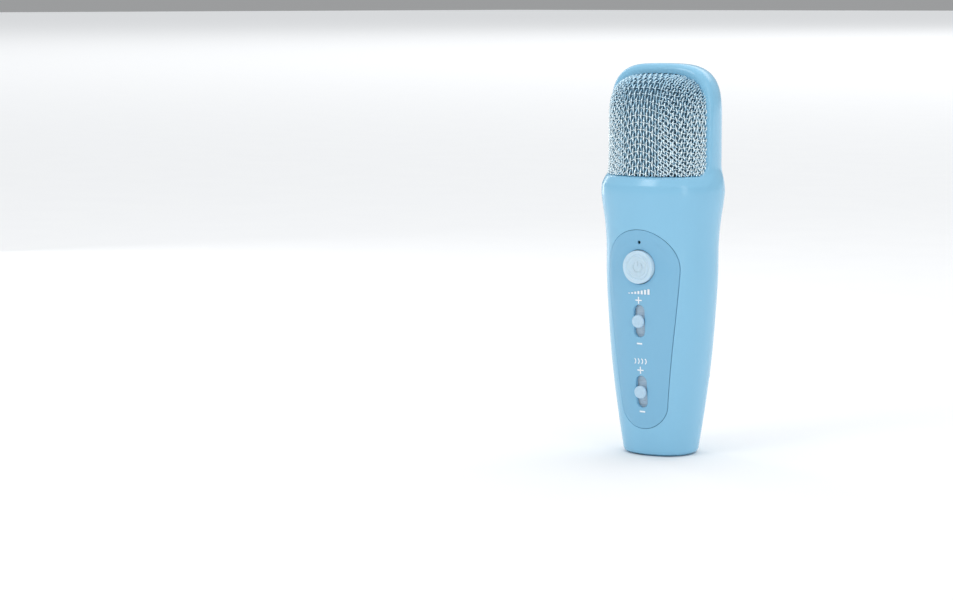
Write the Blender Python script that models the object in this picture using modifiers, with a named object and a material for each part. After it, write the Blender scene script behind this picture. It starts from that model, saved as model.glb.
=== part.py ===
"""Toy karaoke microphone: a tapered plastic handle with a woven metal grille in its head.

Metres, +Z up.  The microphone stands on its base at the origin and faces -Y.
Its cross-sections are soft ellipses, so the casing, the inlaid control panel, the
grille and the foam are all lofts of one family of sections, inset from each other.
"""
import math

import bmesh
import bpy
from mathutils import Matrix, Vector

MM = 0.001

# ---- driving dimensions ------------------------------------------------------
HEIGHT = 150.0 * MM                 # overall height
DEPTH_RATIO = 0.88                  # section depth over section width
SECTION_POWER = 2.2                 # 2 is an ellipse, higher is squarer
SECTION_SIDES = 40
# (height, half width) of the casing from the base to the foot of the head's crown
FLANK = [(0.0, 14.3), (12.0, 16.2), (25.0, 18.0), (38.0, 19.5), (52.0, 20.6), (68.0, 21.5),
         (82.0, 21.7), (91.0, 22.5), (97.0, 23.4), (101.5, 23.8), (105.5, 23.4),
         (110.0, 22.45), (116.0, 22.35), (126.0, 22.35)]
CROWN_START = 126.0 * MM            # the head rounds over above this height
CROWN_POWER = 3.5
BASE_FILLET = 1.8 * MM
WALL_HANDLE = 2.2 * MM
WALL_HEAD = 1.2 * MM
GAP = 0.3 * MM                      # clearance between touching pieces

PARTING_Y = 7.2 * MM                # joint plane of the two casings at the base
PARTING_LEAN = math.radians(1.9)    # the plane leans back with height

HOOP_FRONT_Y = -4.0 * MM            # front rim of the hoop round the grille
LEDGE_Z = 107.8 * MM                # shoulder ledge that the grille stands on
WINDOW_FILLET = 5.0 * MM

PANEL_TOP_Z = 87.6 * MM
PANEL_WIDE_Z = 72.6 * MM
PANEL_HALF_WIDTH = 15.4 * MM
PANEL_FOOT_RADIUS = 10.0 * MM
PANEL_FOOT_Z = 20.8 * MM
PANEL_THICKNESS = 1.3 * MM
PANEL_REBATE = 1.4 * MM             # ledge that the panel rests on

BUTTON_RADIUS = 6.35 * MM
BUTTON_RISE = 1.1 * MM
BUTTON_Z = 73.4 * MM
INDICATOR_Z = 82.8 * MM
INDICATOR_RADIUS = 0.55 * MM
VOLUME_Z = 52.7 * MM
ECHO_Z = 25.3 * MM
SLOT_HALF_WIDTH = 2.3 * MM
SLOT_HALF_LENGTH = 6.2 * MM
KNOB_RADIUS = 2.5 * MM
KNOB_RISE = 1.7 * MM
SHUTTER_HALF_WIDTH = 2.9 * MM
SHUTTER_HALF_LENGTH = 9.4 * MM

BOARD_LEAN = math.radians(4.2)      # the board leans with the tapering front
BOARD_DEPTH = 8.2 * MM              # its front face behind the panel, at the volume slot
BOARD_THICKNESS = 1.6 * MM
BOARD_HALF_WIDTH = 8.4 * MM
BOARD_BOTTOM = -35.0 * MM
BOARD_TOP = 43.0 * MM

BATTERY_RADIUS = 7.0 * MM
BATTERY_LENGTH = 50.0 * MM
BATTERY_CENTRE = Vector((0.0, 4.2 * MM, 64.0 * MM))

CAPSULE_RADIUS = 4.85 * MM
CAPSULE_LENGTH = 6.0 * MM
CAPSULE_Z = 127.0 * MM
BRACKET_Y = (0.7 * MM, 2.3 * MM)
FRAME_Y = (-1.7 * MM, 0.3 * MM)
GRILLE_BACK_Y = -2.0 * MM           # grille and foam end here, behind the hoop's front rim
GRILLE_INSET = 0.45 * MM            # grille below the casing's surface, at the front
GRILLE_THICKNESS = 0.8 * MM
FOAM_THICKNESS = 2.45 * MM

USB_Z = 17.0 * MM
USB_HALF_WIDTH = 4.45 * MM
USB_HALF_HEIGHT = 1.6 * MM
USB_DEPTH = 7.6 * MM
CHARGING_BOARD_Y = 8.4 * MM

# (half spacing, height) of the casing screws, and the radius of their posts
CASING_SCREWS = {"upper": (15.0 * MM, 92.0 * MM), "lower": (12.0 * MM, 30.0 * MM)}
POST_RADIUS = 2.6 * MM
SCREW_RADIUS = 1.1 * MM
SCREW_HEAD_RADIUS = 2.1 * MM
SCREW_HEAD_LENGTH = 1.7 * MM
SCREW_LENGTH = 9.0 * MM
SCREW_SEAT = 2.4 * MM               # plastic left under a casing screw's head

REACH = 60.0 * MM                   # cutters run this far past the microphone
# heights, in mm, of the sections between the base fillet and the crown
RING_HEIGHTS = (6, 14, 22, 30, 38, 46, 54, 62, 70, 78, 86, 90, 94, 97, 100, 103, 105.5, 108,
                111, 116, 121, 126)
CROWN_STEPS = 9

COLOURS = {
    "casing": ((0.27, 0.56, 0.80), 0.35, 0.0),
    "control": ((0.48, 0.69, 0.84), 0.30, 0.0),
    "shutter": ((0.38, 0.52, 0.66), 0.45, 0.0),
    "steel": ((0.72, 0.74, 0.77), 0.30, 1.0),
    "foam": ((0.10, 0.12, 0.14), 0.95, 0.0),
    "rubber": ((0.03, 0.03, 0.03), 0.80, 0.0),
    "white_plastic": ((0.80, 0.80, 0.78), 0.50, 0.0),
    "board": ((0.02, 0.16, 0.07), 0.45, 0.0),
    "wrap": ((0.05, 0.12, 0.40), 0.35, 0.0),
    "lamp": ((0.85, 0.90, 0.80), 0.20, 0.0),
    "lead": ((0.55, 0.03, 0.03), 0.55, 0.0),
}


# ---- scene, materials and small helpers --------------------------------------
def start():
    """Empty the scene and make the two collections."""
    for obj in list(bpy.data.objects):
        bpy.data.objects.remove(obj, do_unlink=True)
    made = []
    for name in ("toy_microphone", "cutters"):
        collection = bpy.data.collections.new(name)
        bpy.context.scene.collection.children.link(collection)
        made.append(collection)
    return made


PARTS, CUTTERS = start()


def material(slot):
    """The shared Principled material of one finish."""
    found = bpy.data.materials.get(slot)
    if found:
        return found
    colour, roughness, metallic = COLOURS[slot]
    made = bpy.data.materials.new(slot)
    made.use_nodes = True
    shader = made.node_tree.nodes["Principled BSDF"]
    shader.inputs["Base Color"].default_value = (*colour, 1.0)
    shader.inputs["Roughness"].default_value = roughness
    shader.inputs["Metallic"].default_value = metallic
    return made


def own(slot, name):
    """A node's own copy of a finish."""
    made = material(slot).copy()
    made.name = f"{name}_{slot}"
    return made


def place(bm, name, slot=None, smooth=True):
    """Turn a bmesh into a part, or into a cutter when it has no finish."""
    mesh = bpy.data.meshes.new(name)
    bmesh.ops.recalc_face_normals(bm, faces=bm.faces)
    bm.to_mesh(mesh)
    bm.free()
    obj = bpy.data.objects.new(name, mesh)
    if smooth:
        mesh.shade_smooth()
        mesh.set_sharp_from_angle(angle=math.radians(35))
    if slot:
        mesh.materials.append(own(slot, name))
        PARTS.objects.link(obj)
    else:
        CUTTERS.objects.link(obj)
        obj.hide_render = True
        obj.display_type = "WIRE"
    return obj


def shape(obj, tool, operation="DIFFERENCE"):
    """Cut, join or intersect a part with a tool body."""
    modifier = obj.modifiers.new(f"{operation.lower()}_{tool.name}", "BOOLEAN")
    modifier.operation = operation
    modifier.solver = "EXACT"
    modifier.object = tool
    return obj


def rounded(obj, width, segments=2, angle=40):
    """Soften the edges that are sharper than an angle."""
    modifier = obj.modifiers.new("rounding", "BEVEL")
    modifier.width = width
    modifier.segments = segments
    modifier.limit_method = "ANGLE"
    modifier.angle_limit = math.radians(angle)
    return obj


def box(name, low, high, slot=None):
    """A block between two corners."""
    bm = bmesh.new()
    bmesh.ops.create_cube(bm, size=1.0)
    size = [h - l for l, h in zip(low, high)]
    centre = [(h + l) / 2 for l, h in zip(low, high)]
    bmesh.ops.scale(bm, vec=size, verts=bm.verts)
    bmesh.ops.translate(bm, vec=centre, verts=bm.verts)
    return place(bm, name, slot, smooth=False)


def cylinder(name, radius, y_low, y_high, x=0.0, z=0.0, slot=None, sides=24):
    """A round bar along Y."""
    bm = bmesh.new()
    bmesh.ops.create_cone(bm, cap_ends=True, segments=sides, radius1=radius, radius2=radius,
                          depth=y_high - y_low)
    bmesh.ops.rotate(bm, matrix=Matrix.Rotation(math.pi / 2, 3, "X"), verts=bm.verts)
    bmesh.ops.translate(bm, vec=(x, (y_low + y_high) / 2, z), verts=bm.verts)
    return place(bm, name, slot)


def turned(name, profile, slot, sides=32):
    """A turned piece: (radius, height) points run down the outer side, about local Z."""
    bm = bmesh.new()
    chain = [bm.verts.new((radius, 0.0, height)) for radius, height in profile]
    for first, second in zip(chain, chain[1:]):
        bm.edges.new((first, second))
    obj = place(bm, name, slot)
    screw = obj.modifiers.new("turn", "SCREW")
    screw.axis = "Z"
    screw.steps = sides
    screw.render_steps = sides
    screw.use_merge_vertices = True
    screw.merge_threshold = 0.00001
    return obj


def prism(name, outline, low, high, axis="Y", slot=None):
    """A flat outline drawn out along an axis."""
    bm = bmesh.new()
    if axis == "Y":
        face = bm.faces.new([bm.verts.new((u, low, v)) for u, v in outline])
        push = (0.0, high - low, 0.0)
    else:
        face = bm.faces.new([bm.verts.new((low, u, v)) for u, v in outline])
        push = (high - low, 0.0, 0.0)
    grown = bmesh.ops.extrude_face_region(bm, geom=[face])
    moved = [item for item in grown["geom"] if isinstance(item, bmesh.types.BMVert)]
    bmesh.ops.translate(bm, vec=push, verts=moved)
    return place(bm, name, slot)


def arc(centre, radius, start_degrees, end_degrees, steps):
    """Points along a circular arc, ends included."""
    points = []
    for index in range(steps + 1):
        angle = math.radians(start_degrees + (end_degrees - start_degrees) * index / steps)
        points.append((centre[0] + radius * math.cos(angle), centre[1] + radius * math.sin(angle)))
    return points


def smooth_curve(points, x):
    """Cubic curve through (x, y) points, with a gentle slope at each point."""
    slopes = []
    for index in range(len(points)):
        before = points[max(index - 1, 0)]
        after = points[min(index + 1, len(points) - 1)]
        slopes.append((after[1] - before[1]) / (after[0] - before[0]))
    x = min(max(x, points[0][0]), points[-1][0])
    index = max(i for i in range(len(points) - 1) if points[i][0] <= x)
    (x0, y0), (x1, y1) = points[index], points[index + 1]
    span = x1 - x0
    t = (x - x0) / span
    return ((2 * t ** 3 - 3 * t ** 2 + 1) * y0 + (t ** 3 - 2 * t ** 2 + t) * span * slopes[index]
            + (3 * t ** 2 - 2 * t ** 3) * y1 + (t ** 3 - t ** 2) * span * slopes[index + 1])


# ---- the casing's sections ---------------------------------------------------
def flank(z):
    """Half width of the casing below its crown."""
    return smooth_curve(FLANK, z / MM) * MM


def wall(z):
    """Wall thickness, thinner in the head than in the handle."""
    share = min(max((z - 96 * MM) / (10 * MM), 0.0), 1.0)
    return WALL_HANDLE + (WALL_HEAD - WALL_HANDLE) * share


def section_point(half_width, half_depth, angle):
    """A point on a soft ellipse."""
    c = math.cos(angle)
    s = math.sin(angle)
    x = half_width * math.copysign(abs(c) ** (2 / SECTION_POWER), c)
    y = half_depth * math.copysign(abs(s) ** (2 / SECTION_POWER), s)
    return x, y


def body_rings(side_inset, front_inset, floor, top, fillet):
    """(height, half width, half depth) of the rings of the casing's shape, inset."""
    levels = []
    if fillet:
        for step in range(4):
            angle = math.pi / 2 * step / 4
            levels.append((floor + fillet * (1 - math.cos(angle)), fillet * (1 - math.sin(angle))))
    else:
        levels.append((floor, 0.0))
    levels += [(z * MM, 0.0) for z in RING_HEIGHTS if z * MM > floor + fillet]
    rings = []
    for z, pull in levels:
        width = flank(z)
        rings.append((z, width - side_inset(z) - pull,
                      width * DEPTH_RATIO - front_inset(z) - pull))
    head = flank(CROWN_START)
    for step in range(1, CROWN_STEPS + 1):
        angle = math.radians(88) * step / CROWN_STEPS
        factor = math.cos(angle) ** (2 / CROWN_POWER)
        z = CROWN_START + (top - CROWN_START) * math.sin(angle) ** (2 / CROWN_POWER)
        rings.append((z, (head - side_inset(z)) * factor,
                      (head * DEPTH_RATIO - front_inset(z)) * factor))
    return rings


def body(name, inset, floor, front_inset=None, slot=None, fillet=0.0):
    """The casing's outer shape, drawn in by an inset that may vary with height."""
    side = inset if callable(inset) else (lambda z: inset)
    front = side if front_inset is None else (lambda z: front_inset)
    rings = body_rings(side, front, floor, HEIGHT - side(HEIGHT), fillet)
    bm = bmesh.new()
    loops = []
    for z, half_width, half_depth in rings:
        loop = []
        for index in range(SECTION_SIDES):
            angle = 2 * math.pi * (index + 0.5) / SECTION_SIDES
            x, y = section_point(half_width, half_depth, angle)
            loop.append(bm.verts.new((x, y, z)))
        loops.append(loop)
    for lower, upper in zip(loops, loops[1:]):
        for index in range(SECTION_SIDES):
            following = (index + 1) % SECTION_SIDES
            bm.faces.new((lower[index], lower[following], upper[following], upper[index]))
    bm.faces.new(reversed(loops[0]))
    bm.faces.new(loops[-1])
    return place(bm, name, slot)


# ---- cutting bodies shared by several pieces ---------------------------------
def parting_block(name, side, offset):
    """Everything behind (side 1) or in front of (side -1) the leaning joint plane."""
    low, high = sorted((offset, side * REACH))
    block = box(name, (-REACH, low, -REACH), (REACH, high, HEIGHT + REACH))
    block.location = (0.0, PARTING_Y, 0.0)
    block.rotation_euler = (-PARTING_LEAN, 0.0, 0.0)
    return block


def parting_y(z):
    """Where the joint plane lies at a height."""
    return PARTING_Y + z * math.tan(PARTING_LEAN)


def window_cutter():
    """The space in front of the hoop and above the shoulder ledge."""
    corner = (HOOP_FRONT_Y - WINDOW_FILLET, LEDGE_Z + WINDOW_FILLET)
    outline = [(-REACH, LEDGE_Z)]
    outline += arc(corner, WINDOW_FILLET, 270, 360, 6)
    outline += [(HOOP_FRONT_Y, HEIGHT + REACH), (-REACH, HEIGHT + REACH)]
    return prism("window_cutter", outline, -REACH, REACH, axis="X")


def panel_outline(inset):
    """Front view of the control panel: a wide round head tapering to a round foot."""
    head = PANEL_HALF_WIDTH - inset
    rise = PANEL_TOP_Z - PANEL_WIDE_Z - inset
    foot = PANEL_FOOT_RADIUS - inset
    right = [(head * math.cos(math.pi * i / 20), PANEL_WIDE_Z + rise * math.sin(math.pi * i / 20))
             for i in range(10, -1, -1)]
    for step in range(1, 8):
        share = step / 8
        ease = share ** 1.35 * (1 - 0.25 * share) / 0.75
        right.append((head + (foot - head) * ease,
                      PANEL_WIDE_Z + (PANEL_FOOT_Z - PANEL_WIDE_Z) * share))
    right += [(u, v) for u, v in arc((0.0, PANEL_FOOT_Z), foot, 0, -90, 9)]
    left = [(-u, v) for u, v in reversed(right[1:-1])]
    return right + left


def front_y(z):
    """The casing's front surface on its centre line."""
    return -flank(z) * DEPTH_RATIO


def front_lean(z):
    """How far the front surface leans from upright at a height."""
    step = 2.0 * MM
    return math.atan((front_y(z - step) - front_y(z + step)) / (2 * step))


def stand_on_front(obj, z):
    """Put a piece's own origin on the front surface, square to it."""
    obj.location = (0.0, front_y(z), z)
    obj.rotation_euler = (front_lean(z), 0.0, 0.0)
    return obj


def stand_on_board(obj, z):
    """Put a piece's own origin in front of the circuit board, in line with the board."""
    rise = z - VOLUME_Z
    obj.location = (0.0, front_y(VOLUME_Z) - rise * math.tan(BOARD_LEAN), z)
    obj.rotation_euler = (BOARD_LEAN, 0.0, 0.0)
    return obj


def slot_outline(half_width, half_length):
    """A slot with round ends, upright."""
    reach = half_length - half_width
    return arc((0.0, reach), half_width, 0, 180, 8) + arc((0.0, -reach), half_width, 180, 360, 8)


# ---- casing ------------------------------------------------------------------
def casing_post(name, x, z, side):
    """The post that a casing screw runs into (front, side -1) or through (rear, side 1)."""
    y = parting_y(z)
    if side < 0:
        post = cylinder(f"{name}_post", POST_RADIUS, -REACH, y - GAP, x, z, sides=16)
    else:
        post = cylinder(f"{name}_collar", POST_RADIUS + 0.9 * MM, y + GAP, REACH, x, z, sides=16)
    return shape(post, MID_WALL, "INTERSECT")


def front_housing():
    """Front casing with the hoop, the panel's recess and the screw posts."""
    shell = body("front_housing", 0.0, 0.0, slot="casing", fillet=BASE_FILLET)
    shape(shell, CAVITY)
    shape(shell, parting_block("behind_front_housing", 1, 0.0))
    shape(shell, window_cutter())
    for label, (x, z) in CASING_SCREWS.items():
        for hand in (-1, 1):
            name = f"{label}_{'left' if hand < 0 else 'right'}"
            shape(shell, casing_post(name, hand * x, z, -1), "UNION")
            shape(shell, cylinder(f"{name}_pilot", SCREW_RADIUS + GAP, parting_y(z) - 8 * MM,
                                  REACH, hand * x, z, sides=12))
    recess = prism("panel_recess", panel_outline(0.0), -REACH, 0.0)
    shape(recess, body("panel_recess_floor", PANEL_THICKNESS + 0.15 * MM, 0.0))
    shape(shell, recess)
    shape(shell, prism("panel_opening", panel_outline(PANEL_REBATE), -REACH, 0.0))
    return shell


def rear_housing():
    """Rear casing with the screw collars and the charging socket's opening."""
    shell = body("rear_housing", 0.0, 0.0, slot="casing", fillet=BASE_FILLET)
    shape(shell, CAVITY)
    shape(shell, parting_block("before_rear_housing", -1, GAP))
    for label, (x, z) in CASING_SCREWS.items():
        for hand in (-1, 1):
            name = f"{label}_{'left' if hand < 0 else 'right'}"
            seat = parting_y(z) + SCREW_SEAT
            shape(shell, casing_post(name, hand * x, z, 1), "UNION")
            shape(shell, cylinder(f"{name}_counterbore", SCREW_HEAD_RADIUS + 0.35 * MM, seat,
                                  REACH, hand * x, z, sides=16))
            shape(shell, cylinder(f"{name}_clearance", SCREW_RADIUS + GAP, 0.0, REACH,
                                  hand * x, z, sides=12))
    opening = prism("usb_opening", usb_outline(GAP), 0.0, REACH)
    return shape(shell, opening)


def usb_outline(margin):
    """Section of the charging socket, with round sides."""
    radius = USB_HALF_HEIGHT + margin
    reach = USB_HALF_WIDTH - USB_HALF_HEIGHT
    right = arc((reach, USB_Z), radius, -90, 90, 6)
    left = arc((-reach, USB_Z), radius, 90, 270, 6)
    return right + left


def casing_screws():
    """Four pan-head screws driven in from the back."""
    for label, (x, z) in CASING_SCREWS.items():
        for hand in (-1, 1):
            name = f"casing_screw_{label}_{'left' if hand < 0 else 'right'}"
            profile = [(0.0, SCREW_HEAD_LENGTH), (SCREW_HEAD_RADIUS * 0.7, SCREW_HEAD_LENGTH),
                       (SCREW_HEAD_RADIUS, SCREW_HEAD_LENGTH * 0.6), (SCREW_HEAD_RADIUS, 0.0),
                       (SCREW_RADIUS, 0.0), (SCREW_RADIUS, 1.5 * MM - SCREW_LENGTH),
                       (0.0, -SCREW_LENGTH)]
            screw = turned(name, profile, "steel", sides=14)
            screw.location = (hand * x, parting_y(z) + SCREW_SEAT + 0.15 * MM, z)
            screw.rotation_euler = (-math.pi / 2, 0.0, 0.0)


# ---- head --------------------------------------------------------------------
def head_pieces():
    """Grille, foam, the frame behind them and the capsule in its bracket."""
    side = WALL_HEAD + GAP
    grille = body("front_grille", side, 90 * MM, GRILLE_INSET, slot="steel")
    shape(grille, box("grille_room", (-REACH, -REACH, LEDGE_Z + GAP),
                      (REACH, GRILLE_BACK_Y, 4 * REACH)), "INTERSECT")
    shape(grille, body("grille_hollow", side + GRILLE_THICKNESS, 85 * MM,
                       GRILLE_INSET + GRILLE_THICKNESS))
    foam_offset = GRILLE_THICKNESS + GAP
    foam = body("foam_windscreen", side + foam_offset, 90 * MM, GRILLE_INSET + foam_offset,
                slot="foam")
    shape(foam, box("foam_room", (-REACH, -REACH, LEDGE_Z + 2 * GAP),
                    (REACH, GRILLE_BACK_Y, 4 * REACH)), "INTERSECT")
    shape(foam, body("foam_hollow", side + foam_offset + FOAM_THICKNESS, 85 * MM))

    frame = body("grille_frame", WALL_HEAD + GAP, 90 * MM, slot="white_plastic")
    shape(frame, box("frame_room", (-REACH, FRAME_Y[0], 110 * MM),
                     (REACH, FRAME_Y[1], 4 * REACH)), "INTERSECT")
    window = body("frame_window", WALL_HEAD + GAP + 2.2 * MM, 90 * MM)
    shape(window, box("frame_window_room", (-REACH, -REACH, 112.5 * MM),
                      (REACH, REACH, 4 * REACH)), "INTERSECT")
    shape(frame, window)

    bracket = body("capsule_bracket", WALL_HEAD + GAP + 0.2 * MM, 90 * MM, slot="white_plastic")
    shape(bracket, box("bracket_room", (-REACH, BRACKET_Y[0], 110 * MM),
                       (REACH, BRACKET_Y[1], 4 * REACH)), "INTERSECT")
    shape(bracket, cylinder("bracket_hole", CAPSULE_RADIUS + 1.6 * MM, -REACH, REACH, 0.0,
                            CAPSULE_Z))

    front = BRACKET_Y[0] - 4.2 * MM
    sleeve = CAPSULE_RADIUS + 1.3 * MM
    lip = CAPSULE_RADIUS + 3.0 * MM
    profile = [(CAPSULE_RADIUS + GAP, 4.2 * MM), (sleeve, 4.2 * MM), (sleeve, 4.0 * MM),
               (sleeve, 2.4 * MM), (lip, 2.4 * MM), (lip, 0.4 * MM), (sleeve, 0.4 * MM),
               (sleeve, -2.4 * MM), (CAPSULE_RADIUS + GAP, -2.4 * MM),
               (CAPSULE_RADIUS + GAP, 4.2 * MM)]
    holder = turned("capsule_holder", profile, "rubber", sides=28)
    holder.location = (0.0, BRACKET_Y[0], CAPSULE_Z)
    holder.rotation_euler = (math.pi / 2, 0.0, 0.0)

    capsule = cylinder("microphone_capsule", CAPSULE_RADIUS, front, front + CAPSULE_LENGTH, 0.0,
                       CAPSULE_Z, slot="steel", sides=28)
    rounded(capsule, 0.3 * MM)


# ---- controls ----------------------------------------------------------------
def control_panel():
    """Inlaid panel that follows the casing, with its button hole and slider slots."""
    panel = prism("control_panel", panel_outline(0.15 * MM), -REACH, 0.0, slot="casing")
    shape(panel, body("panel_surface", 0.0, 0.0), "INTERSECT")
    shape(panel, body("panel_underside", PANEL_THICKNESS, 0.0))
    through = (-8 * MM, 8 * MM)
    button_hole = cylinder("button_hole", BUTTON_RADIUS + 0.25 * MM, *through, sides=32)
    indicator_hole = cylinder("indicator_hole", INDICATOR_RADIUS, *through, sides=12)
    shape(panel, stand_on_front(button_hole, BUTTON_Z))
    shape(panel, stand_on_front(indicator_hole, INDICATOR_Z))
    for name, z in (("volume_slot", VOLUME_Z), ("echo_slot", ECHO_Z)):
        slot = prism(name, slot_outline(SLOT_HALF_WIDTH, SLOT_HALF_LENGTH), *through)
        shape(panel, stand_on_front(slot, z))


def control_empty(name, z):
    """The axis point that a moving control's pieces are parented to."""
    empty = bpy.data.objects.new(name, None)
    empty.empty_display_size = 5 * MM
    PARTS.objects.link(empty)
    return stand_on_front(empty, z)


def power_button():
    """Dished round cap on a stem that reaches down to the switch."""
    axis = control_empty("power_button_axis", BUTTON_Z)
    rim = BUTTON_RADIUS * 0.8
    # local Z of a turned piece becomes the outward direction
    profile = [(0.0, BUTTON_RISE - 0.35 * MM), (rim * 0.82, BUTTON_RISE - 0.35 * MM),
               (rim, BUTTON_RISE), (BUTTON_RADIUS - 0.5 * MM, BUTTON_RISE),
               (BUTTON_RADIUS, BUTTON_RISE - 0.5 * MM), (BUTTON_RADIUS, -2.3 * MM),
               (BUTTON_RADIUS - 1.0 * MM, -2.3 * MM), (BUTTON_RADIUS - 1.0 * MM, -0.6 * MM),
               (1.6 * MM, -0.6 * MM), (1.6 * MM, -3.4 * MM), (0.0, -3.4 * MM)]
    button = turned("power_button", profile, "control", sides=36)
    plunger = turned("switch_plunger", [(0.0, -3.7 * MM), (1.5 * MM, -3.7 * MM),
                                        (1.5 * MM, -4.8 * MM), (0.0, -4.8 * MM)],
                     "rubber", sides=16)
    for piece in (button, plunger):
        piece.parent = axis
        piece.rotation_euler = (math.pi / 2, 0.0, 0.0)
    switch = box("tact_switch", (-3.0 * MM, BOARD_DEPTH - 1.6 * MM, -3.0 * MM),
                 (3.0 * MM, BOARD_DEPTH - 0.2 * MM, 3.0 * MM), "steel")
    stand_on_board(switch, BUTTON_Z)
    rounded(switch, 0.3 * MM, 1)


def slider(prefix, z):
    """Round knob, its shutter and lever, which slide, and the potentiometer, which stays."""
    axis = control_empty(f"{prefix}_axis", z)
    foot = PANEL_THICKNESS + 0.3 * MM
    profile = [(0.0, KNOB_RISE - 0.3 * MM), (KNOB_RADIUS * 0.55, KNOB_RISE - 0.3 * MM),
               (KNOB_RADIUS * 0.78, KNOB_RISE), (KNOB_RADIUS - 0.3 * MM, KNOB_RISE),
               (KNOB_RADIUS, KNOB_RISE - 0.35 * MM), (KNOB_RADIUS, 0.35 * MM),
               (1.5 * MM, 0.35 * MM), (1.5 * MM, -foot), (0.0, -foot)]
    knob = turned(f"{prefix}_knob", profile, "control", sides=24)
    knob.rotation_euler = (math.pi / 2, 0.0, 0.0)
    shutter = prism(f"{prefix}_shutter", slot_outline(SHUTTER_HALF_WIDTH, SHUTTER_HALF_LENGTH),
                    foot + 0.3 * MM, foot + 0.8 * MM, slot="shutter")
    lever = box(f"{prefix}_lever", (-0.6 * MM, foot + 1.1 * MM, -1.5 * MM),
                (0.6 * MM, BOARD_DEPTH - 3.6 * MM, 1.5 * MM), "white_plastic")
    for piece in (knob, shutter, lever):
        piece.parent = axis
    can = box(f"{prefix}_potentiometer", (-3.6 * MM, BOARD_DEPTH - 4.2 * MM, -8.5 * MM),
              (3.6 * MM, BOARD_DEPTH - 0.2 * MM, 8.5 * MM), "steel")
    track = box(f"{prefix}_track", (-1.0 * MM, -REACH, -5.4 * MM),
                (1.0 * MM, BOARD_DEPTH - 3.0 * MM, 5.4 * MM))
    stand_on_board(can, z)
    shape(can, stand_on_board(track, z))


# ---- electronics -------------------------------------------------------------
def on_board(name, low, high, slot):
    """A block in the circuit board's leaning frame."""
    return stand_on_board(box(name, low, high, slot), VOLUME_Z)


def electronics():
    """Circuit board and what is soldered to it, the battery and the charging socket."""
    back = BOARD_DEPTH + BOARD_THICKNESS
    board = on_board("circuit_board", (-BOARD_HALF_WIDTH, BOARD_DEPTH, BOARD_BOTTOM),
                     (BOARD_HALF_WIDTH, back, BOARD_TOP), "board")
    holes = [(6.4 * MM, BOARD_TOP - 3.0 * MM, "upper"), (-6.4 * MM, BOARD_BOTTOM + 3.0 * MM, "lower")]
    for x, height, label in holes:
        hole = cylinder(f"board_hole_{label}", 1.3 * MM, -REACH, REACH, x, 0.0, sides=12)
        shape(board, stand_on_board(hole, VOLUME_Z + height))
        screw = turned(f"board_screw_{label}",
                       [(0.0, 1.2 * MM), (1.3 * MM, 1.2 * MM), (1.9 * MM, 0.2 * MM), (1.9 * MM, 0.0),
                        (1.0 * MM, 0.0), (1.0 * MM, -5.0 * MM), (0.0, -5.5 * MM)], "steel", 12)
        anchor = bpy.data.objects.new(f"board_screw_{label}_axis", None)
        PARTS.objects.link(anchor)
        screw.parent = stand_on_board(anchor, VOLUME_Z + height)
        screw.location = (x, back + 0.2 * MM, 0.0)
        screw.rotation_euler = (-math.pi / 2, 0.0, 0.0)
    lamp = box("indicator_led", (-1.0 * MM, BOARD_DEPTH - 1.1 * MM, -1.6 * MM),
               (1.0 * MM, BOARD_DEPTH - 0.2 * MM, 1.6 * MM), "lamp")
    stand_on_board(lamp, INDICATOR_Z)
    on_board("radio_module", (-6.0 * MM, back + 0.2 * MM, 25.0 * MM),
             (6.0 * MM, back + 2.0 * MM, 37.0 * MM), "steel")
    on_board("battery_connector", (-4.0 * MM, back + 0.2 * MM, -27.0 * MM),
             (4.0 * MM, back + 3.6 * MM, -22.0 * MM), "white_plastic")

    half = BATTERY_LENGTH / 2
    battery = turned("battery", [(0.0, half), (2.6 * MM, half), (2.6 * MM, half - 1.0 * MM),
                                 (BATTERY_RADIUS - 0.6 * MM, half - 1.0 * MM),
                                 (BATTERY_RADIUS, half - 1.6 * MM), (BATTERY_RADIUS, -half),
                                 (0.0, -half)], "wrap", sides=24)
    battery.location = BATTERY_CENTRE
    pad = box("battery_pad", (-5.0 * MM, BATTERY_CENTRE.y + BATTERY_RADIUS + GAP, 50 * MM),
              (5.0 * MM, BATTERY_CENTRE.y + BATTERY_RADIUS + 2.3 * MM, 78 * MM), "foam")
    rounded(pad, 0.4 * MM, 1)

    mouth = rear_surface_y(USB_Z) - 0.5 * MM
    socket = prism("usb_port", usb_outline(-0.05 * MM), mouth - USB_DEPTH, mouth, slot="steel")
    shape(socket, prism("usb_mouth", usb_outline(-0.35 * MM), mouth - 5.8 * MM, mouth + REACH))
    tongue = box("usb_tongue", (-3.3 * MM, mouth - 6.4 * MM, USB_Z - 0.35 * MM),
                 (3.3 * MM, mouth - 1.2 * MM, USB_Z + 0.35 * MM))
    shape(socket, tongue, "UNION")
    box("charging_board", (-7.6 * MM, mouth - USB_DEPTH - 1.5 * MM, 11.5 * MM),
        (7.6 * MM, mouth - USB_DEPTH - GAP, 24.0 * MM), "board")


def rear_surface_y(z):
    """Depth of the casing's back on its centre line."""
    return flank(z) * DEPTH_RATIO


def lead(name, points, radius):
    """An insulated lead along a smooth route."""
    count = 4 * (len(points) - 1)
    route = []
    for step in range(count + 1):
        route.append(route_point(points, step / count * (len(points) - 1)))
    curve = bpy.data.curves.new(name, "CURVE")
    curve.dimensions = "3D"
    curve.bevel_depth = radius
    curve.bevel_resolution = 2
    curve.use_fill_caps = True
    spline = curve.splines.new("POLY")
    spline.points.add(len(route) - 1)
    for target, point in zip(spline.points, route):
        target.co = (*point, 1.0)
    obj = bpy.data.objects.new(name, curve)
    curve.materials.append(own("lead", name))
    PARTS.objects.link(obj)


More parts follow.
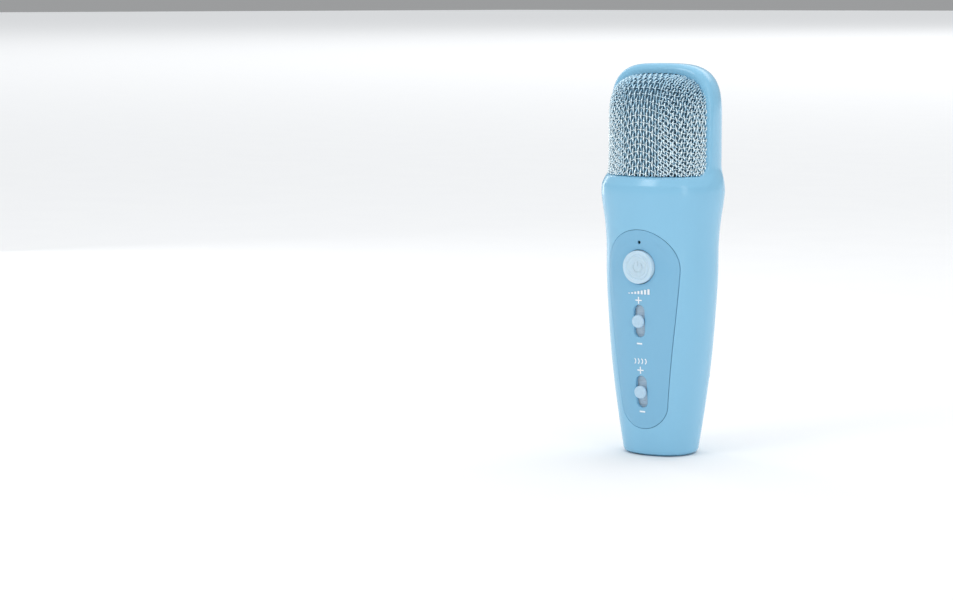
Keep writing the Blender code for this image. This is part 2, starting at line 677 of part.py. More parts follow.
def route_point(points, t):
    """A point of the smooth curve through the route's own points."""
    index = min(int(t), len(points) - 2)
    share = t - index
    a = Vector(points[max(index - 1, 0)])
    b = Vector(points[index])
    c = Vector(points[index + 1])
    d = Vector(points[min(index + 2, len(points) - 1)])
    return 0.5 * (2 * b + (c - a) * share + (2 * a - 5 * b + 4 * c - d) * share ** 2
                  + (3 * b - a - 3 * c + d) * share ** 3)


def leads():
    """The capsule's lead down to the board, and the battery's."""
    radius = 0.6 * MM
    back = board_back_y(93 * MM)
    lead("capsule_lead", [(0.0, 4.0 * MM, CAPSULE_Z), (0.0, 7.0 * MM, CAPSULE_Z - 5 * MM),
                          (0.0, 7.0 * MM, 112 * MM), (0.0, 3.0 * MM, 103 * MM),
                          (-3.0 * MM, back + 4 * MM, 97 * MM), (-4.0 * MM, back + 1.2 * MM, 92 * MM)],
         radius)
    z = VOLUME_Z - 24.5 * MM
    plug = board_back_y(z) + 3.6 * MM
    lead("battery_lead", [(0.0, BATTERY_CENTRE.y, 38.3 * MM), (0.0, BATTERY_CENTRE.y, 33 * MM),
                          (0.0, -1.0 * MM, z), (0.0, plug + 0.6 * MM, z)], radius)


def board_back_y(z):
    """The circuit board's back face at a height."""
    slope = (z - VOLUME_Z) * math.tan(BOARD_LEAN)
    return front_y(VOLUME_Z) - slope + (BOARD_DEPTH + BOARD_THICKNESS) / math.cos(BOARD_LEAN)


CAVITY = body("cavity", wall, WALL_HANDLE)
MID_WALL = body("mid_wall", lambda z: wall(z) / 2, WALL_HANDLE / 2)

front_housing()
rear_housing()
casing_screws()
head_pieces()
control_panel()
power_button()
slider("volume", VOLUME_Z)
slider("echo", ECHO_Z)
electronics()
leads()
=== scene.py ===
"""Looks of the toy microphone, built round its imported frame.

The casing, the panel, the grille and the foam all follow one surface: soft elliptic
sections whose half width changes with height, closed by a rounded crown.
"""
from math import atan, atan2, copysign, cos, hypot, pi, radians, sin, sqrt, tan

import bmesh
import bpy
import numpy as np
from mathutils import Matrix, Vector
from mathutils.geometry import delaunay_2d_cdt


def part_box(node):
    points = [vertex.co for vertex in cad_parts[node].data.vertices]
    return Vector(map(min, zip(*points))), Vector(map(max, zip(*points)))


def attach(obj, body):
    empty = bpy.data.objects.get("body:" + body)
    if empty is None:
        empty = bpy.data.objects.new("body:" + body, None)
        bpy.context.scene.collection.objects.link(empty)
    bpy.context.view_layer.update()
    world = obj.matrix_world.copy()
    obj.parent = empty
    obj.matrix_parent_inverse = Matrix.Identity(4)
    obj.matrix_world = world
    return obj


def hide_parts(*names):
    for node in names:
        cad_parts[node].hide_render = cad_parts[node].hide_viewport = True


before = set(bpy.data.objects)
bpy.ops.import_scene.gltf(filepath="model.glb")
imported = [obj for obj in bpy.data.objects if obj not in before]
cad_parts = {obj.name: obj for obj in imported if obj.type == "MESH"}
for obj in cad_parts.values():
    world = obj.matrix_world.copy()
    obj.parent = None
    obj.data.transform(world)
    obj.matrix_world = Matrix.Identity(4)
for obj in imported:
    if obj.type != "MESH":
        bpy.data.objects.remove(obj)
bpy.context.view_layer.update()
MM = 0.001
TINY = 1e-6
SHARP_ANGLE = 38                    # degrees; steeper edges stay sharp
FAR = 40 * MM                       # further than any point of the crown from its foot


# ---- sizes, read from the frame where it holds them ----------------------------
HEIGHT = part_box("front_housing")[1].z
DEPTH_RATIO = 0.88
SQUARENESS = 0.032                  # how far a section swells past an ellipse at 45 degrees
# (height, half width) of the casing, in mm, from the base to the foot of the crown
FLANK = [(0.0, 14.3), (12.0, 16.2), (25.0, 18.0), (38.0, 19.5), (52.0, 20.6), (68.0, 21.5),
         (82.0, 21.7), (91.0, 22.5), (97.0, 23.4), (101.5, 23.8), (105.5, 23.4),
         (110.0, 22.45), (116.0, 22.35), (126.0, 22.35)]
CROWN_START = 126.0 * MM
CROWN_POWER = 3.5
BASE_FILLET = 1.8 * MM
WALL_HANDLE = 2.2 * MM
WALL_HEAD = 1.2 * MM
PARTING_Y = 7.2 * MM
PARTING_SLOPE = tan(radians(1.9))
GAP = 0.3 * MM

HOOP_FRONT_Y = -4.0 * MM
LEDGE_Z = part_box("front_grille")[0].z - GAP
WINDOW_FILLET = 5.0 * MM
RIM_FILLET = 2.0 * MM               # round edge of the hoop
CROWN_FILLET = 3.3 * MM             # over the top of the head
LEDGE_FILLET = 0.9 * MM             # and of the ledge under the grille
BEVEL_HEIGHT = 3.7 * MM             # sloping band under the grille
BEVEL_DEPTH = 1.1 * MM
COLLAR_Z = 93.0 * MM                # the handle's skin meets the head's skin here

PANEL_TOP_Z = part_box("control_panel")[1].z + 0.15 * MM
PANEL_WIDE_Z = PANEL_TOP_Z - 15.0 * MM
PANEL_HALF_WIDTH = 15.4 * MM
PANEL_FOOT_RADIUS = 10.0 * MM
PANEL_FOOT_Z = 20.8 * MM
PANEL_THICKNESS = 1.3 * MM
HOLLOW = 0.45 * MM                  # how far the panel's upper part dips inside its edge
SEAM = 0.07 * MM                    # half the gap round the panel
SEAM_FILLET = 0.13 * MM

BUTTON_RADIUS = 6.35 * MM
BUTTON_Z = 73.4 * MM
INDICATOR_Z = 82.8 * MM
INDICATOR_RADIUS = 0.66 * MM
VOLUME_Z = 52.7 * MM
ECHO_Z = 25.3 * MM
SLOT_HALF_WIDTH = 2.3 * MM
SLOT_HALF_LENGTH = 6.2 * MM
USB_Z = 17.0 * MM
USB_HALF_WIDTH = 4.45 * MM
USB_HALF_HEIGHT = 1.6 * MM
SCREW_SPOTS = [(15.0 * MM, 92.0 * MM), (12.0 * MM, 30.0 * MM)]
SCREW_HOLE_RADIUS = 2.5 * MM
SCREW_SEAT = 2.4 * MM
PRINT_LIFT = 0.022 * MM             # how far the prints stand off the panel


def smooth_curve(points, x):
    """Cubic curve through (x, y) points, with a gentle slope at each point."""
    knots = np.array(points)
    slopes = np.gradient(knots[:, 1], knots[:, 0])
    slopes[1:-1] = (knots[2:, 1] - knots[:-2, 1]) / (knots[2:, 0] - knots[:-2, 0])
    x = min(max(x, knots[0, 0]), knots[-1, 0])
    index = min(int(np.searchsorted(knots[:, 0], x, side="right")) - 1, len(knots) - 2)
    span = knots[index + 1, 0] - knots[index, 0]
    t = (x - knots[index, 0]) / span
    return ((2 * t ** 3 - 3 * t ** 2 + 1) * knots[index, 1]
            + (t ** 3 - 2 * t ** 2 + t) * span * slopes[index]
            + (3 * t ** 2 - 2 * t ** 3) * knots[index + 1, 1]
            + (t ** 3 - t ** 2) * span * slopes[index + 1])


def ramp(value, low, high):
    """0 below low, 1 above high, and straight between them."""
    return min(max((value - low) / (high - low), 0.0), 1.0)


def ease(value, low, high):
    """0 below low, 1 above high, and smooth between them."""
    share = ramp(value, low, high)
    return share * share * (3 - 2 * share)


FLANK_STEP = 0.1 * MM
FLANK_TABLE = np.array([smooth_curve(FLANK, z / 10) * MM
                        for z in range(int(CROWN_START / FLANK_STEP) + 2)])


def flank(z):
    """Half width of the casing below its crown."""
    return float(np.interp(z, np.arange(len(FLANK_TABLE)) * FLANK_STEP, FLANK_TABLE))


def crown_factor(z, top):
    """How far the sections have drawn in at a height within the crown."""
    share = ramp(z, CROWN_START, top)
    return max(1.0 - share ** CROWN_POWER, 0.0) ** (1 / CROWN_POWER)


def section(z, side=0.0, front=None, top=None):
    """Half width and half depth of the casing's surface at a height, drawn in by insets."""
    front = side if front is None else front
    top = HEIGHT - side if top is None else top
    factor = crown_factor(z, top)
    pull = 0.0
    if z < BASE_FILLET and side < 0.5 * MM:
        lift = 1 - z / BASE_FILLET
        pull = BASE_FILLET * (1 - sqrt(max(1 - lift * lift, 0.0)))
    width = flank(z)
    return (width - side) * factor - pull, (width * DEPTH_RATIO - front) * factor - pull


def on_section(half_width, half_depth, turn):
    """A point of a section; turn is 0 at the front and grows towards +X."""
    swell = 1 + SQUARENESS * sin(2 * turn) ** 2
    return half_width * sin(turn) * swell, -half_depth * cos(turn) * swell


def solve(function, low, high, target):
    """The argument at which a rising function reaches a target."""
    for _ in range(48):
        middle = (low + high) / 2
        if function(middle) < target:
            low = middle
        else:
            high = middle
    return (low + high) / 2


def turn_at_y(z, y, **inset):
    """The turn, between front and back, at which a section reaches a depth."""
    half_width, half_depth = section(z, **inset)
    return solve(lambda t: on_section(half_width, half_depth, t)[1], 0.0, pi, y)


def turn_at_x(z, x, **inset):
    """The turn on the front half at which a section reaches a sideways distance."""
    half_width, half_depth = section(z, **inset)
    return solve(lambda t: on_section(half_width, half_depth, t)[0], -1.4, 1.4, x)


def skin_point(turn, z, **inset):
    """The surface point at a turn and a height."""
    half_width, half_depth = section(z, **inset)
    x, y = on_section(half_width, half_depth, turn)
    return Vector((x, y, z))


def excess(x, y, z, *insets):
    """How far out a point lies: 1 on the section at its height, more outside it."""
    half_width, half_depth = section(z, *insets)
    if half_width <= TINY or half_depth <= TINY:
        return 9.0
    angle = atan2(x / half_width, -y / half_depth)
    swell = 1 + SQUARENESS * sin(2 * angle) ** 2
    return hypot(x / half_width, y / half_depth) / swell


def radial(point, side=0.0, front=None):
    """A point moved onto the surface, straight out from the microphone's core."""
    core = Vector((0.0, 0.0, min(point.z, CROWN_START)))
    ray = point - core
    if ray.length < 1e-9:
        return point.copy()
    if abs(ray.z) < 1e-9:
        return core + ray / excess(*(core + ray), side, front)
    return core + ray * solve(lambda scale: excess(*(core + ray * scale), side, front),
                              0.0, 4.0, 1.0)


def parting_y(z):
    """Where the two casings meet."""
    return PARTING_Y + z * PARTING_SLOPE


def fillet_drop(distance, radius):
    """How far a rounded edge has dropped at a distance from its end."""
    reach = max(radius - distance, 0.0)
    return radius - sqrt(radius * radius - reach * reach)


# ---- double skins --------------------------------------------------------------
NEAR_CELLS = [(i, j, k) for i in (0, -1, 1) for j in (0, -1, 1) for k in (0, -1, 1)]


def distinct(corners):
    """Corners of a closed line, without those that repeat the one before."""
    return [c for i, c in enumerate(corners) if c != corners[i - 1]]


def band(first, second):
    """Faces between two closed rings of corners."""
    return list(zip(first, first[1:] + first[:1], second[1:] + second[:1], second))


class Shell:
    """A part with an outer and an inner skin and a rim wherever the skins end."""

    def __init__(self):
        self.cells = {}
        self.outer = []
        self.inner = []
        self.faces = []

    def point(self, outer, inner):
        """The index of a pair of points, shared with an equal earlier pair."""
        outer = Vector(outer)
        cell = [round(c * 1e5) for c in outer]
        for step in NEAR_CELLS:
            for index in self.cells.get((cell[0] + step[0], cell[1] + step[1],
                                         cell[2] + step[2]), ()):
                if (self.outer[index] - outer).length < 2e-6:
                    return index
        self.cells.setdefault(tuple(cell), []).append(len(self.outer))
        self.outer.append(outer)
        self.inner.append(Vector(inner))
        return len(self.outer) - 1

    def face(self, *corners):
        """A face of the outer skin, dropped if it has shrunk to a line."""
        kept = distinct(corners)
        if len(set(kept)) > 2:
            self.faces.append(kept)

    def grid(self, rows):
        """Faces between rows of point indices."""
        for first, second in zip(rows, rows[1:]):
            for i in range(len(first) - 1):
                self.face(first[i], first[i + 1], second[i + 1], second[i])

    def mirror(self):
        """Add the half at -X."""
        flip = Matrix.Diagonal((-1, 1, 1))
        twins = [self.point(flip @ self.outer[i], flip @ self.inner[i])
                 for i in range(len(self.outer))]
        self.faces += [[twins[i] for i in reversed(face)] for face in self.faces]

    def build(self, name, body):
        """The finished piece."""
        used = {}
        for face in self.faces:
            for i, corner in enumerate(face):
                edge = (face[i - 1], corner)
                used[frozenset(edge)] = used.get(frozenset(edge), []) + [edge]
        count = len(self.outer)
        faces = [list(face) for face in self.faces]
        faces += [[i + count for i in reversed(face)] for face in self.faces]
        for edges in used.values():
            if len(edges) == 1:
                a, b = edges[0]
                faces.append([b, a, a + count, b + count])
        return mesh_piece(name, self.outer + self.inner, faces, body)


def add_object(name, data, body=None):
    """An object in the scene, riding on a body if one is named."""
    obj = bpy.data.objects.new(name, data)
    bpy.context.scene.collection.objects.link(obj)
    if body:
        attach(obj, body)
    return obj


def shaded(mesh, bm, sharp):
    """A mesh filled from a bmesh, smooth but for its sharp edges."""
    bm.to_mesh(mesh)
    bm.free()
    mesh.shade_smooth()
    mesh.set_sharp_from_angle(angle=radians(sharp))
    return mesh


def mesh_piece(name, points, faces, body, sharp=SHARP_ANGLE):
    """A mesh object that rides on a body."""
    mesh = bpy.data.meshes.new(name)
    mesh.from_pydata([tuple(p) for p in points], [], faces)
    bm = bmesh.new()
    bm.from_mesh(mesh)
    bmesh.ops.recalc_face_normals(bm, faces=bm.faces)
    return add_object(name, shaded(mesh, bm, sharp), body)


def grid_faces(rows, columns, first=0):
    """Faces of a grid of points, given how many points it has each way."""
    return [(a, a + 1, a + columns + 1, a + columns) for i in range(rows - 1)
            for a in range(first + i * columns, first + (i + 1) * columns - 1)]


def grid_rim(rows, columns):
    """The points round the edge of a grid."""
    last = columns - 1
    return ([i * columns for i in range(rows)]
            + [(rows - 1) * columns + j for j in range(1, columns)]
            + [i * columns + last for i in range(rows - 2, -1, -1)]
            + list(range(last - 1, 0, -1)))


TURN_SCALE = 22.0                   # mm of girth for one radian of turn
FILLET_ROWS = (0.0, 0.12, 0.35, 0.65, 1.0, 2.2)     # rows of points, in fillet radii
RIM_ROWS = (0.0, 0.05, 0.18, 0.38, 0.62, 0.85, 1.1, 1.6)
SEAM_ROWS = (2.2, 1.0, 0.5, 0.15, 0.0)
SKIN_ROWS = 24
LATTICE_ROW = 0.866                 # row height of a lattice of equal triangles
LATTICE_CLEAR = 0.55                # how near it may come to the outlines' own points


def inside_rings(points, rings):
    """Which points lie inside an outline and outside its holes."""
    inside = np.zeros(len(points), bool)
    x, y = points.T
    for ring in rings:
        for (x0, y0), (x1, y1) in zip(ring, np.roll(ring, -1, axis=0)):
            crossing = (y0 > y) != (y1 > y)
            with np.errstate(divide="ignore", invalid="ignore"):
                reach = (x1 - x0) * (y - y0) / (y1 - y0) + x0
            inside ^= crossing & (x < reach)
    return inside


def offset_line(line, distance):
    """A line of (turn, z) points moved across the surface, to the left of its direction."""
    spots = [skin_point(t, z) for t, z in line]
    closed = line[0] == line[-1]
    last = len(line) - 1
    step = 1e-4
    moved = []
    for i, (t, z) in enumerate(line):
        before = spots[last - 1 if closed and i == 0 else max(i - 1, 0)]
        after = spots[1 if closed and i == last else min(i + 1, last)]
        along = after - before
        across_turn = (skin_point(t + step, z) - skin_point(t - step, z)) / (2 * step)
        across_z = (skin_point(t, z + step * MM) - skin_point(t, z - step * MM)) / (2 * step * MM)
        normal = across_turn.cross(across_z)
        left = normal.cross(along).normalized()
        if t in (0.0, pi):
            left.x = 0.0
            left.normalize()
        moved.append((t + distance * left.dot(across_turn) / across_turn.length_squared,
                      z + distance * left.dot(across_z) / across_z.length_squared))
    return moved


def half_skin(shell, rings, spacing, wall, sink=None):
    """Fill the outlines of a skin's +X half with a fine mesh.

    Each ring is a closed outline or hole, as stretches of (line of (turn, z) points,
    fillet radius) with the skin on the left of each.  sink gives an extra drop at a point.
    """
    outlines = []
    samples = {}
    for ring in rings:
        outline = []
        for line, fillet in ring:
            flat_line = [(round(t * TURN_SCALE, 6), round(z / MM, 6)) for t, z in line]
            outline += flat_line
            for share in FILLET_ROWS if fillet else (0.0,):
                distance = share * fillet
                moved = offset_line(line, distance) if distance else line
                drop = fillet_drop(distance, fillet) if fillet else 0.0
                for t, z in moved:
                    samples.setdefault((round(t * TURN_SCALE, 6), round(z / MM, 6)), drop)
        outlines.append(distinct(outline))
    arrays = [np.array(outline) for outline in outlines]
    edge_keys = {p for outline in outlines for p in outline}
    taken = np.array(list(samples))
    on_edge = np.array([p in edge_keys for p in samples])
    keep = on_edge | inside_rings(taken, arrays)
    points = [tuple(p) for p, k in zip(taken, keep) if k]
    drops = [d for d, k in zip(samples.values(), keep) if k]
    low, high = arrays[0].min(0), arrays[0].max(0)
    lattice = []
    row_height = spacing * LATTICE_ROW
    for row in range(int((high[1] - low[1]) / row_height) + 1):
        for column in range(int((high[0] - low[0]) / spacing) + 2):
            shift = 0.5 * spacing if row % 2 else 0.0
            lattice.append((low[0] + column * spacing + shift, low[1] + row * row_height))
    lattice = np.array(lattice)
    lattice = lattice[inside_rings(lattice, arrays)]
    near = np.array(points)
    clear = [np.min((near[:, 0] - u) ** 2 + (near[:, 1] - v) ** 2)
             > (LATTICE_CLEAR * spacing) ** 2 for u, v in lattice]
    points += [tuple(p) for p, c in zip(lattice, clear) if c]
    drops += [0.0] * (len(points) - len(drops))
    index = {p: i for i, p in enumerate(points)}
    edges = [(index[outline[i - 1]], index[outline[i]])
             for outline in outlines for i in range(len(outline))]
    flat, _, faces, origin, _, _ = delaunay_2d_cdt([Vector(p) for p in points], edges, [], 0, 1e-7)
    middles = np.array([np.mean([flat[c] for c in face], axis=0) for face in faces])
    made = []
    for (u, v), sources in zip(flat, origin):
        turn, z = u / TURN_SCALE, v * MM
        drop = drops[sources[0]] if sources else 0.0
        drop += sink(turn, z) if sink else 0.0
        outer = skin_point(turn, z, side=drop, front=drop, top=HEIGHT)
        inset = wall(z) if callable(wall) else wall
        made.append(shell.point(outer, skin_point(turn, z, side=inset)))
    for face, wanted in zip(faces, inside_rings(middles, arrays)):
        if wanted:
            shell.face(*[made[c] for c in face])


# ---- outlines ------------------------------------------------------------------
def arc(x, z, radius, start, end, count, tall=None):
    """Points along an arc about a middle, between two angles; tall is its other half axis."""
    tall = radius if tall is None else tall
    return [(x + radius * cos(a), z + tall * sin(a))
            for a in np.linspace(start, end, count)]


def on_middle(points):
    """A half outline with its two ends put exactly on the middle line."""
    return [(0.0, points[0][1])] + points[1:-1] + [(0.0, points[-1][1])]


def panel_edge(inset):
    """(x, z) points of the panel outline's +X half, from its top to its foot."""
    head = PANEL_HALF_WIDTH - inset
    rise = PANEL_TOP_Z - PANEL_WIDE_Z - inset
    foot = PANEL_FOOT_RADIUS - inset
    points = arc(0.0, PANEL_WIDE_Z, head, pi / 2, 0.0, 60, rise)
    for share in np.linspace(0.0, 1.0, 90)[1:-1]:
        taper = share ** 1.35 * (1 - 0.25 * share) / 0.75
        points.append((head + (foot - head) * taper,
                       PANEL_WIDE_Z + (PANEL_FOOT_Z - PANEL_WIDE_Z) * share))
    return on_middle(points + arc(0.0, PANEL_FOOT_Z, foot, 0.0, -pi / 2, 40))


def as_turns(points):
    """(x, z) points as (turn, z) on the casing's surface."""
    return [(0.0 if x == 0.0 else turn_at_x(z, x), z) for x, z in points]


def wall(z):
    """Wall thickness of the casing."""
    return WALL_HANDLE + (WALL_HEAD - WALL_HANDLE) * ramp(z, 96 * MM, 106 * MM)


def arch_point(angle, depth):
    """Where a ray in the XZ direction of an angle, at a depth, leaves the crown."""
    def spot(reach):
        z = CROWN_START + reach * sin(angle)
        return reach * cos(angle), depth(z), z
    x, y, z = spot(solve(lambda reach: excess(*spot(reach)), 0.0, FAR, 1.0))
    return Vector((0.0 if abs(x) < 1e-7 else x, y, z))


# ---- casing --------------------------------------------------------------------
def head_rows():
    """Matching points of the window's edge and of the head skin's outer edge, +X half."""
    corner_y = HOOP_FRONT_Y - WINDOW_FILLET
    corner_z = LEDGE_Z + WINDOW_FILLET
    ledge_turn = turn_at_y(LEDGE_Z, corner_y)
    collar_turn = turn_at_y(COLLAR_Z, parting_y(COLLAR_Z))
    across = (collar_turn - ledge_turn) * TURN_SCALE * MM
    up = corner_z - COLLAR_Z

    def at_parting(z):
        return skin_point(turn_at_y(z, parting_y(z)), z)
    pairs = [(skin_point(turn, LEDGE_Z), skin_point(turn, COLLAR_Z))
             for turn in np.linspace(0.0, ledge_turn, 26)[:-1]]
    steps = 30
    for step in range(steps + 1):
        angle = pi / 2 * (1 - step / steps)
        y = corner_y + WINDOW_FILLET * cos(angle)
        z = corner_z - WINDOW_FILLET * sin(angle)
        run = step / steps * (across + up)
        if run <= across:
            turn = ledge_turn + (collar_turn - ledge_turn) * run / across
            border = skin_point(turn, COLLAR_Z)
        else:
            border = at_parting(COLLAR_Z + run - across)
        pairs.append((skin_point(turn_at_y(z, y), z), border))
    pairs += [(skin_point(turn_at_y(z, HOOP_FRONT_Y), z), at_parting(z))
              for z in np.linspace(corner_z, CROWN_START, 14)[1:]]
    pairs += [(arch_point(angle, lambda z: HOOP_FRONT_Y), arch_point(angle, parting_y))
              for angle in np.linspace(0.0, pi / 2, 56)[1:]]
    # the step nearest the collar's corner is moved onto it
    corner = skin_point(collar_turn, COLLAR_Z)
    nearest = min(range(len(pairs)), key=lambda i: (pairs[i][1] - corner).length)
    pairs[nearest] = (pairs[nearest][0], corner)
    return pairs, nearest


def bevel_drop(distance, share):
    """How deep the sloping band under the grille lies, at a distance from the ledge."""
    return BEVEL_DEPTH * share * max(1.0 - distance / BEVEL_HEIGHT, 0.0)


def skin_row(shell, start, end, first_fillet, last_fillet, bevel=0.0):
    """Points across the skin between two edges, with either edge rounded off."""
    span = (end - start).length
    distances = [first_fillet * share for share in RIM_ROWS] if first_fillet else [0.0]
    first, last = distances[-1], span - SEAM_FILLET * SEAM_ROWS[0]
    distances += [first + (last - first) * k / SKIN_ROWS for k in range(1, SKIN_ROWS)]
    distances += [span - SEAM_FILLET * share for share in SEAM_ROWS]
    row = []
    for number, distance in enumerate(distances):
        spot = start.lerp(end, min(distance / span, 1.0))
        if 0 < number < len(distances) - 1:
            spot = radial(spot)
        spot_on_skin = spot.copy()
        drop = fillet_drop(distance, first_fillet) if first_fillet else 0.0
        drop += bevel_drop(distance, bevel) if bevel else 0.0
        if last_fillet:
            drop = max(drop, fillet_drop(span - distance, last_fillet))
        if drop:
            spot = radial(spot, drop)
        inner = radial(spot_on_skin, max(wall(spot_on_skin.z), drop + 0.4 * MM))
        if start.x == 0.0 and end.x == 0.0:
            spot.x = inner.x = 0.0
        row.append(shell.point(spot, inner))
    return row


def casing_front():
    """Front casing: hoop, shoulder and the handle's front with the panel's opening."""
    shell = Shell()
    pairs, corner = head_rows()
    rows = []
    for i, (start, end) in enumerate(pairs):
        bevel = 1 - ease(start.z, LEDGE_Z, LEDGE_Z + WINDOW_FILLET)
        rim = RIM_FILLET + (LEDGE_FILLET - RIM_FILLET) * bevel
        rim += (CROWN_FILLET - RIM_FILLET) * ease(start.z, CROWN_START, CROWN_START + 13 * MM)
        rows.append(skin_row(shell, start, end, rim, SEAM_FILLET if i >= corner else 0.0, bevel))
    shell.grid(rows)
    collar = [(0.0 if end.x == 0.0 else turn_at_y(COLLAR_Z, end.y), COLLAR_Z)
              for _, end in pairs[:corner + 1]]
    parting = [(turn_at_y(z, parting_y(z)), z) for z in np.linspace(0.0, COLLAR_Z, 84)]
    foot = [(turn, 0.0) for turn in np.linspace(0.0, parting[0][0], 34)]
    opening = as_turns(panel_edge(-SEAM))
    upper_line = [(0.0, z) for z in np.linspace(COLLAR_Z, opening[0][1], 6)]
    lower_line = [(0.0, z) for z in np.linspace(opening[-1][1], 0.0, 10)]
    half_skin(shell, [[(upper_line, 0.0), (opening, SEAM_FILLET), (lower_line, 0.0), (foot, 0.0),
                       (parting, SEAM_FILLET), (collar[::-1], 0.0)]], 1.0, wall)
    shell.mirror()
    return shell


def on_back(points):
    """(x, z) points as (turn, z) on the casing's back."""
    return [(pi - (0.0 if x == 0.0 else turn_at_x(z, x)), z) for x, z in points]


def back_circle(x, z, radius):
    """A round hole's edge on the casing's back, as (turn, z), with the skin on its left."""
    line = on_back(arc(x, z, radius, 0.0, 2 * pi, 41)[:-1])
    return line + line[:1]


def half_round(z, half_width, half_length):
    """The +X half of a slot or circle on the centre line, as (x, z), from its top down."""
    reach = half_length - half_width
    points = arc(0.0, z + reach, half_width, pi / 2, 0.0, 24)
    if reach:
        points += [(half_width, z + reach - 2 * reach * i / 16) for i in range(1, 16)]
    points += arc(0.0, z - reach, half_width, 0.0, -pi / 2, 24)[0 if reach else 1:]
    return on_middle(points)


def back_slot():
    """The +X half of the charging socket's opening, as (turn, z), from its foot up."""
    radius = USB_HALF_HEIGHT + GAP
    reach = USB_HALF_WIDTH - USB_HALF_HEIGHT
    points = [(reach * i / 8, USB_Z - radius) for i in range(8)]
    points += arc(reach, USB_Z, radius, -pi / 2, pi / 2, 24)
    return on_back(points + [(reach * i / 8, USB_Z + radius) for i in range(7, -1, -1)])


def casing_rear():
    """Rear casing with screw holes and the charging socket's opening."""
    shell = Shell()
    back = Vector((0.0, section(CROWN_START)[1], CROWN_START))

    def joint(z):
        return parting_y(z) + GAP
    edge = [arch_point(angle, joint) for angle in np.linspace(0.0, pi / 2, 56)]
    first = skin_row(shell, back, edge[0], 0.0, SEAM_FILLET)
    rows = [first] + [skin_row(shell, back, spot, 0.0, SEAM_FILLET) for spot in edge[1:]]
    shell.grid(rows)
    # the crown's lowest row, as turns, is the handle's top edge
    top = [(pi, CROWN_START)]
    top += [(turn_at_y(CROWN_START, shell.outer[i].y), CROWN_START) for i in first[1:-1]]
    top.append((turn_at_y(CROWN_START, joint(CROWN_START)), CROWN_START))
    side = [(turn_at_y(z, joint(z)), z) for z in np.linspace(CROWN_START, 0.0, 110)]
    foot = [(turn, 0.0) for turn in np.linspace(side[-1][0], pi, 30)]
    usb = back_slot()
    low_line = [(pi, z) for z in np.linspace(0.0, usb[0][1], 6)]
    high_line = [(pi, z) for z in np.linspace(usb[-1][1], CROWN_START, 60)]
    ring = [(side, SEAM_FILLET), (foot, 0.0), (low_line, 0.0), (usb, 0.3 * MM),
            (high_line, 0.0), (top, 0.0)]
    holes = [[(back_circle(x, z, SCREW_HOLE_RADIUS), 0.3 * MM)] for x, z in SCREW_SPOTS]
    half_skin(shell, [ring] + holes, 1.2, wall)
    shell.mirror()
    return shell


def control_panel():
    """The inlaid panel, with its button hole, lamp hole and slots."""
    shell = Shell()
    button_hole = BUTTON_RADIUS + 0.25 * MM
    holes = [(INDICATOR_Z, INDICATOR_RADIUS, INDICATOR_RADIUS, 0.1 * MM),
             (BUTTON_Z, button_hole, button_hole, 0.2 * MM),
             (VOLUME_Z, SLOT_HALF_WIDTH, SLOT_HALF_LENGTH, 0.25 * MM),
             (ECHO_Z, SLOT_HALF_WIDTH, SLOT_HALF_LENGTH, 0.25 * MM)]
    outline = as_turns(panel_edge(SEAM))
    ring = []
    z = outline[0][1]
    for middle, half_width, half_length, fillet in holes:
        hole = as_turns(half_round(middle, half_width, half_length))
        steps = max(int((z - hole[0][1]) / MM), 2)
        ring.append(([(0.0, h) for h in np.linspace(z, hole[0][1], steps)], 0.0))
        ring.append((hole, fillet))
        z = hole[-1][1]
    ring.append(([(0.0, h) for h in np.linspace(z, outline[-1][1], 5)], 0.0))
    ring.append((outline[::-1], SEAM_FILLET))
    edge = np.array(panel_edge(SEAM))

    def hollow(turn, z):
        """The panel's upper part is very slightly hollow inside its edge."""
        x = skin_point(turn, z).x
        away = sqrt(np.min((edge[:, 0] - x) ** 2 + (edge[:, 1] - z) ** 2))
        return HOLLOW * ease(away, 1.6 * MM, 4.0 * MM) * ramp(z, 58 * MM, 76 * MM)
    half_skin(shell, [ring], 0.8, PANEL_THICKNESS, hollow)
    shell.mirror()
    return shell


# ---- grille --------------------------------------------------------------------
SIDE_INSET = WALL_HEAD + GAP        # how deep the grille lies at the sides of the head
FRONT_INSET = 0.45 * MM             # and at its front
WARP_RADIUS = 0.36 * MM
WEFT_RADIUS = 0.2 * MM
WARP_LIFT = 0.36 * MM               # the warps bend over and under the wefts
WEFT_LIFT = 0.22 * MM
CLOTH_DEPTH = 0.62 * MM             # middle of the cloth, under the CAD grille's skin
CLOTH_TOP = 3.7 * MM                # how far the cloth lies under the hoop's top
WARP_PITCH = 1.18 * MM
WEFT_PITCH = 2.75 * MM
GRILLE_RADIUS = 20.6 * MM
GRILLE_BACK_Y = -2.4 * MM
COLUMNS = 28                        # warps on each side of the middle
CLOTH_END = 146.0 * MM              # about the run at which the cloth turns in to the hoop
CLOTH_REACH = 161.0 * MM            # and past any run at which it ends
HALF_ROWS = 80
FIRST_ROW = LEDGE_Z - 6 * WEFT_PITCH + 1.2 * MM
SINK = 9.4 * MM                     # the wefts hang lower towards the flanks
SINK_REACH = 18.0 * MM
SINK_TOP = 112.0 * MM
STRAY = 0.22 * MM                   # the rows wander a little on the flanks
WARP_LEAN = 0.26 * MM               # the warps zigzag a little between rows
FOAM_DEPTH = 2.15 * MM              # the foam's skin under the CAD grille's skin
FOAM_TURN = radians(80)             # how far it reaches to each side
FOAM_CORE = 0.86                    # its inner skin, as a share of the outer skin's reach
FOAM_TOP = HEIGHT - 5.0 * MM
CROWN_PAINTED_SHADE = 0.42                   # painted shade: the cloth is painted darker where it turns in under the hoop
row_tables = {}


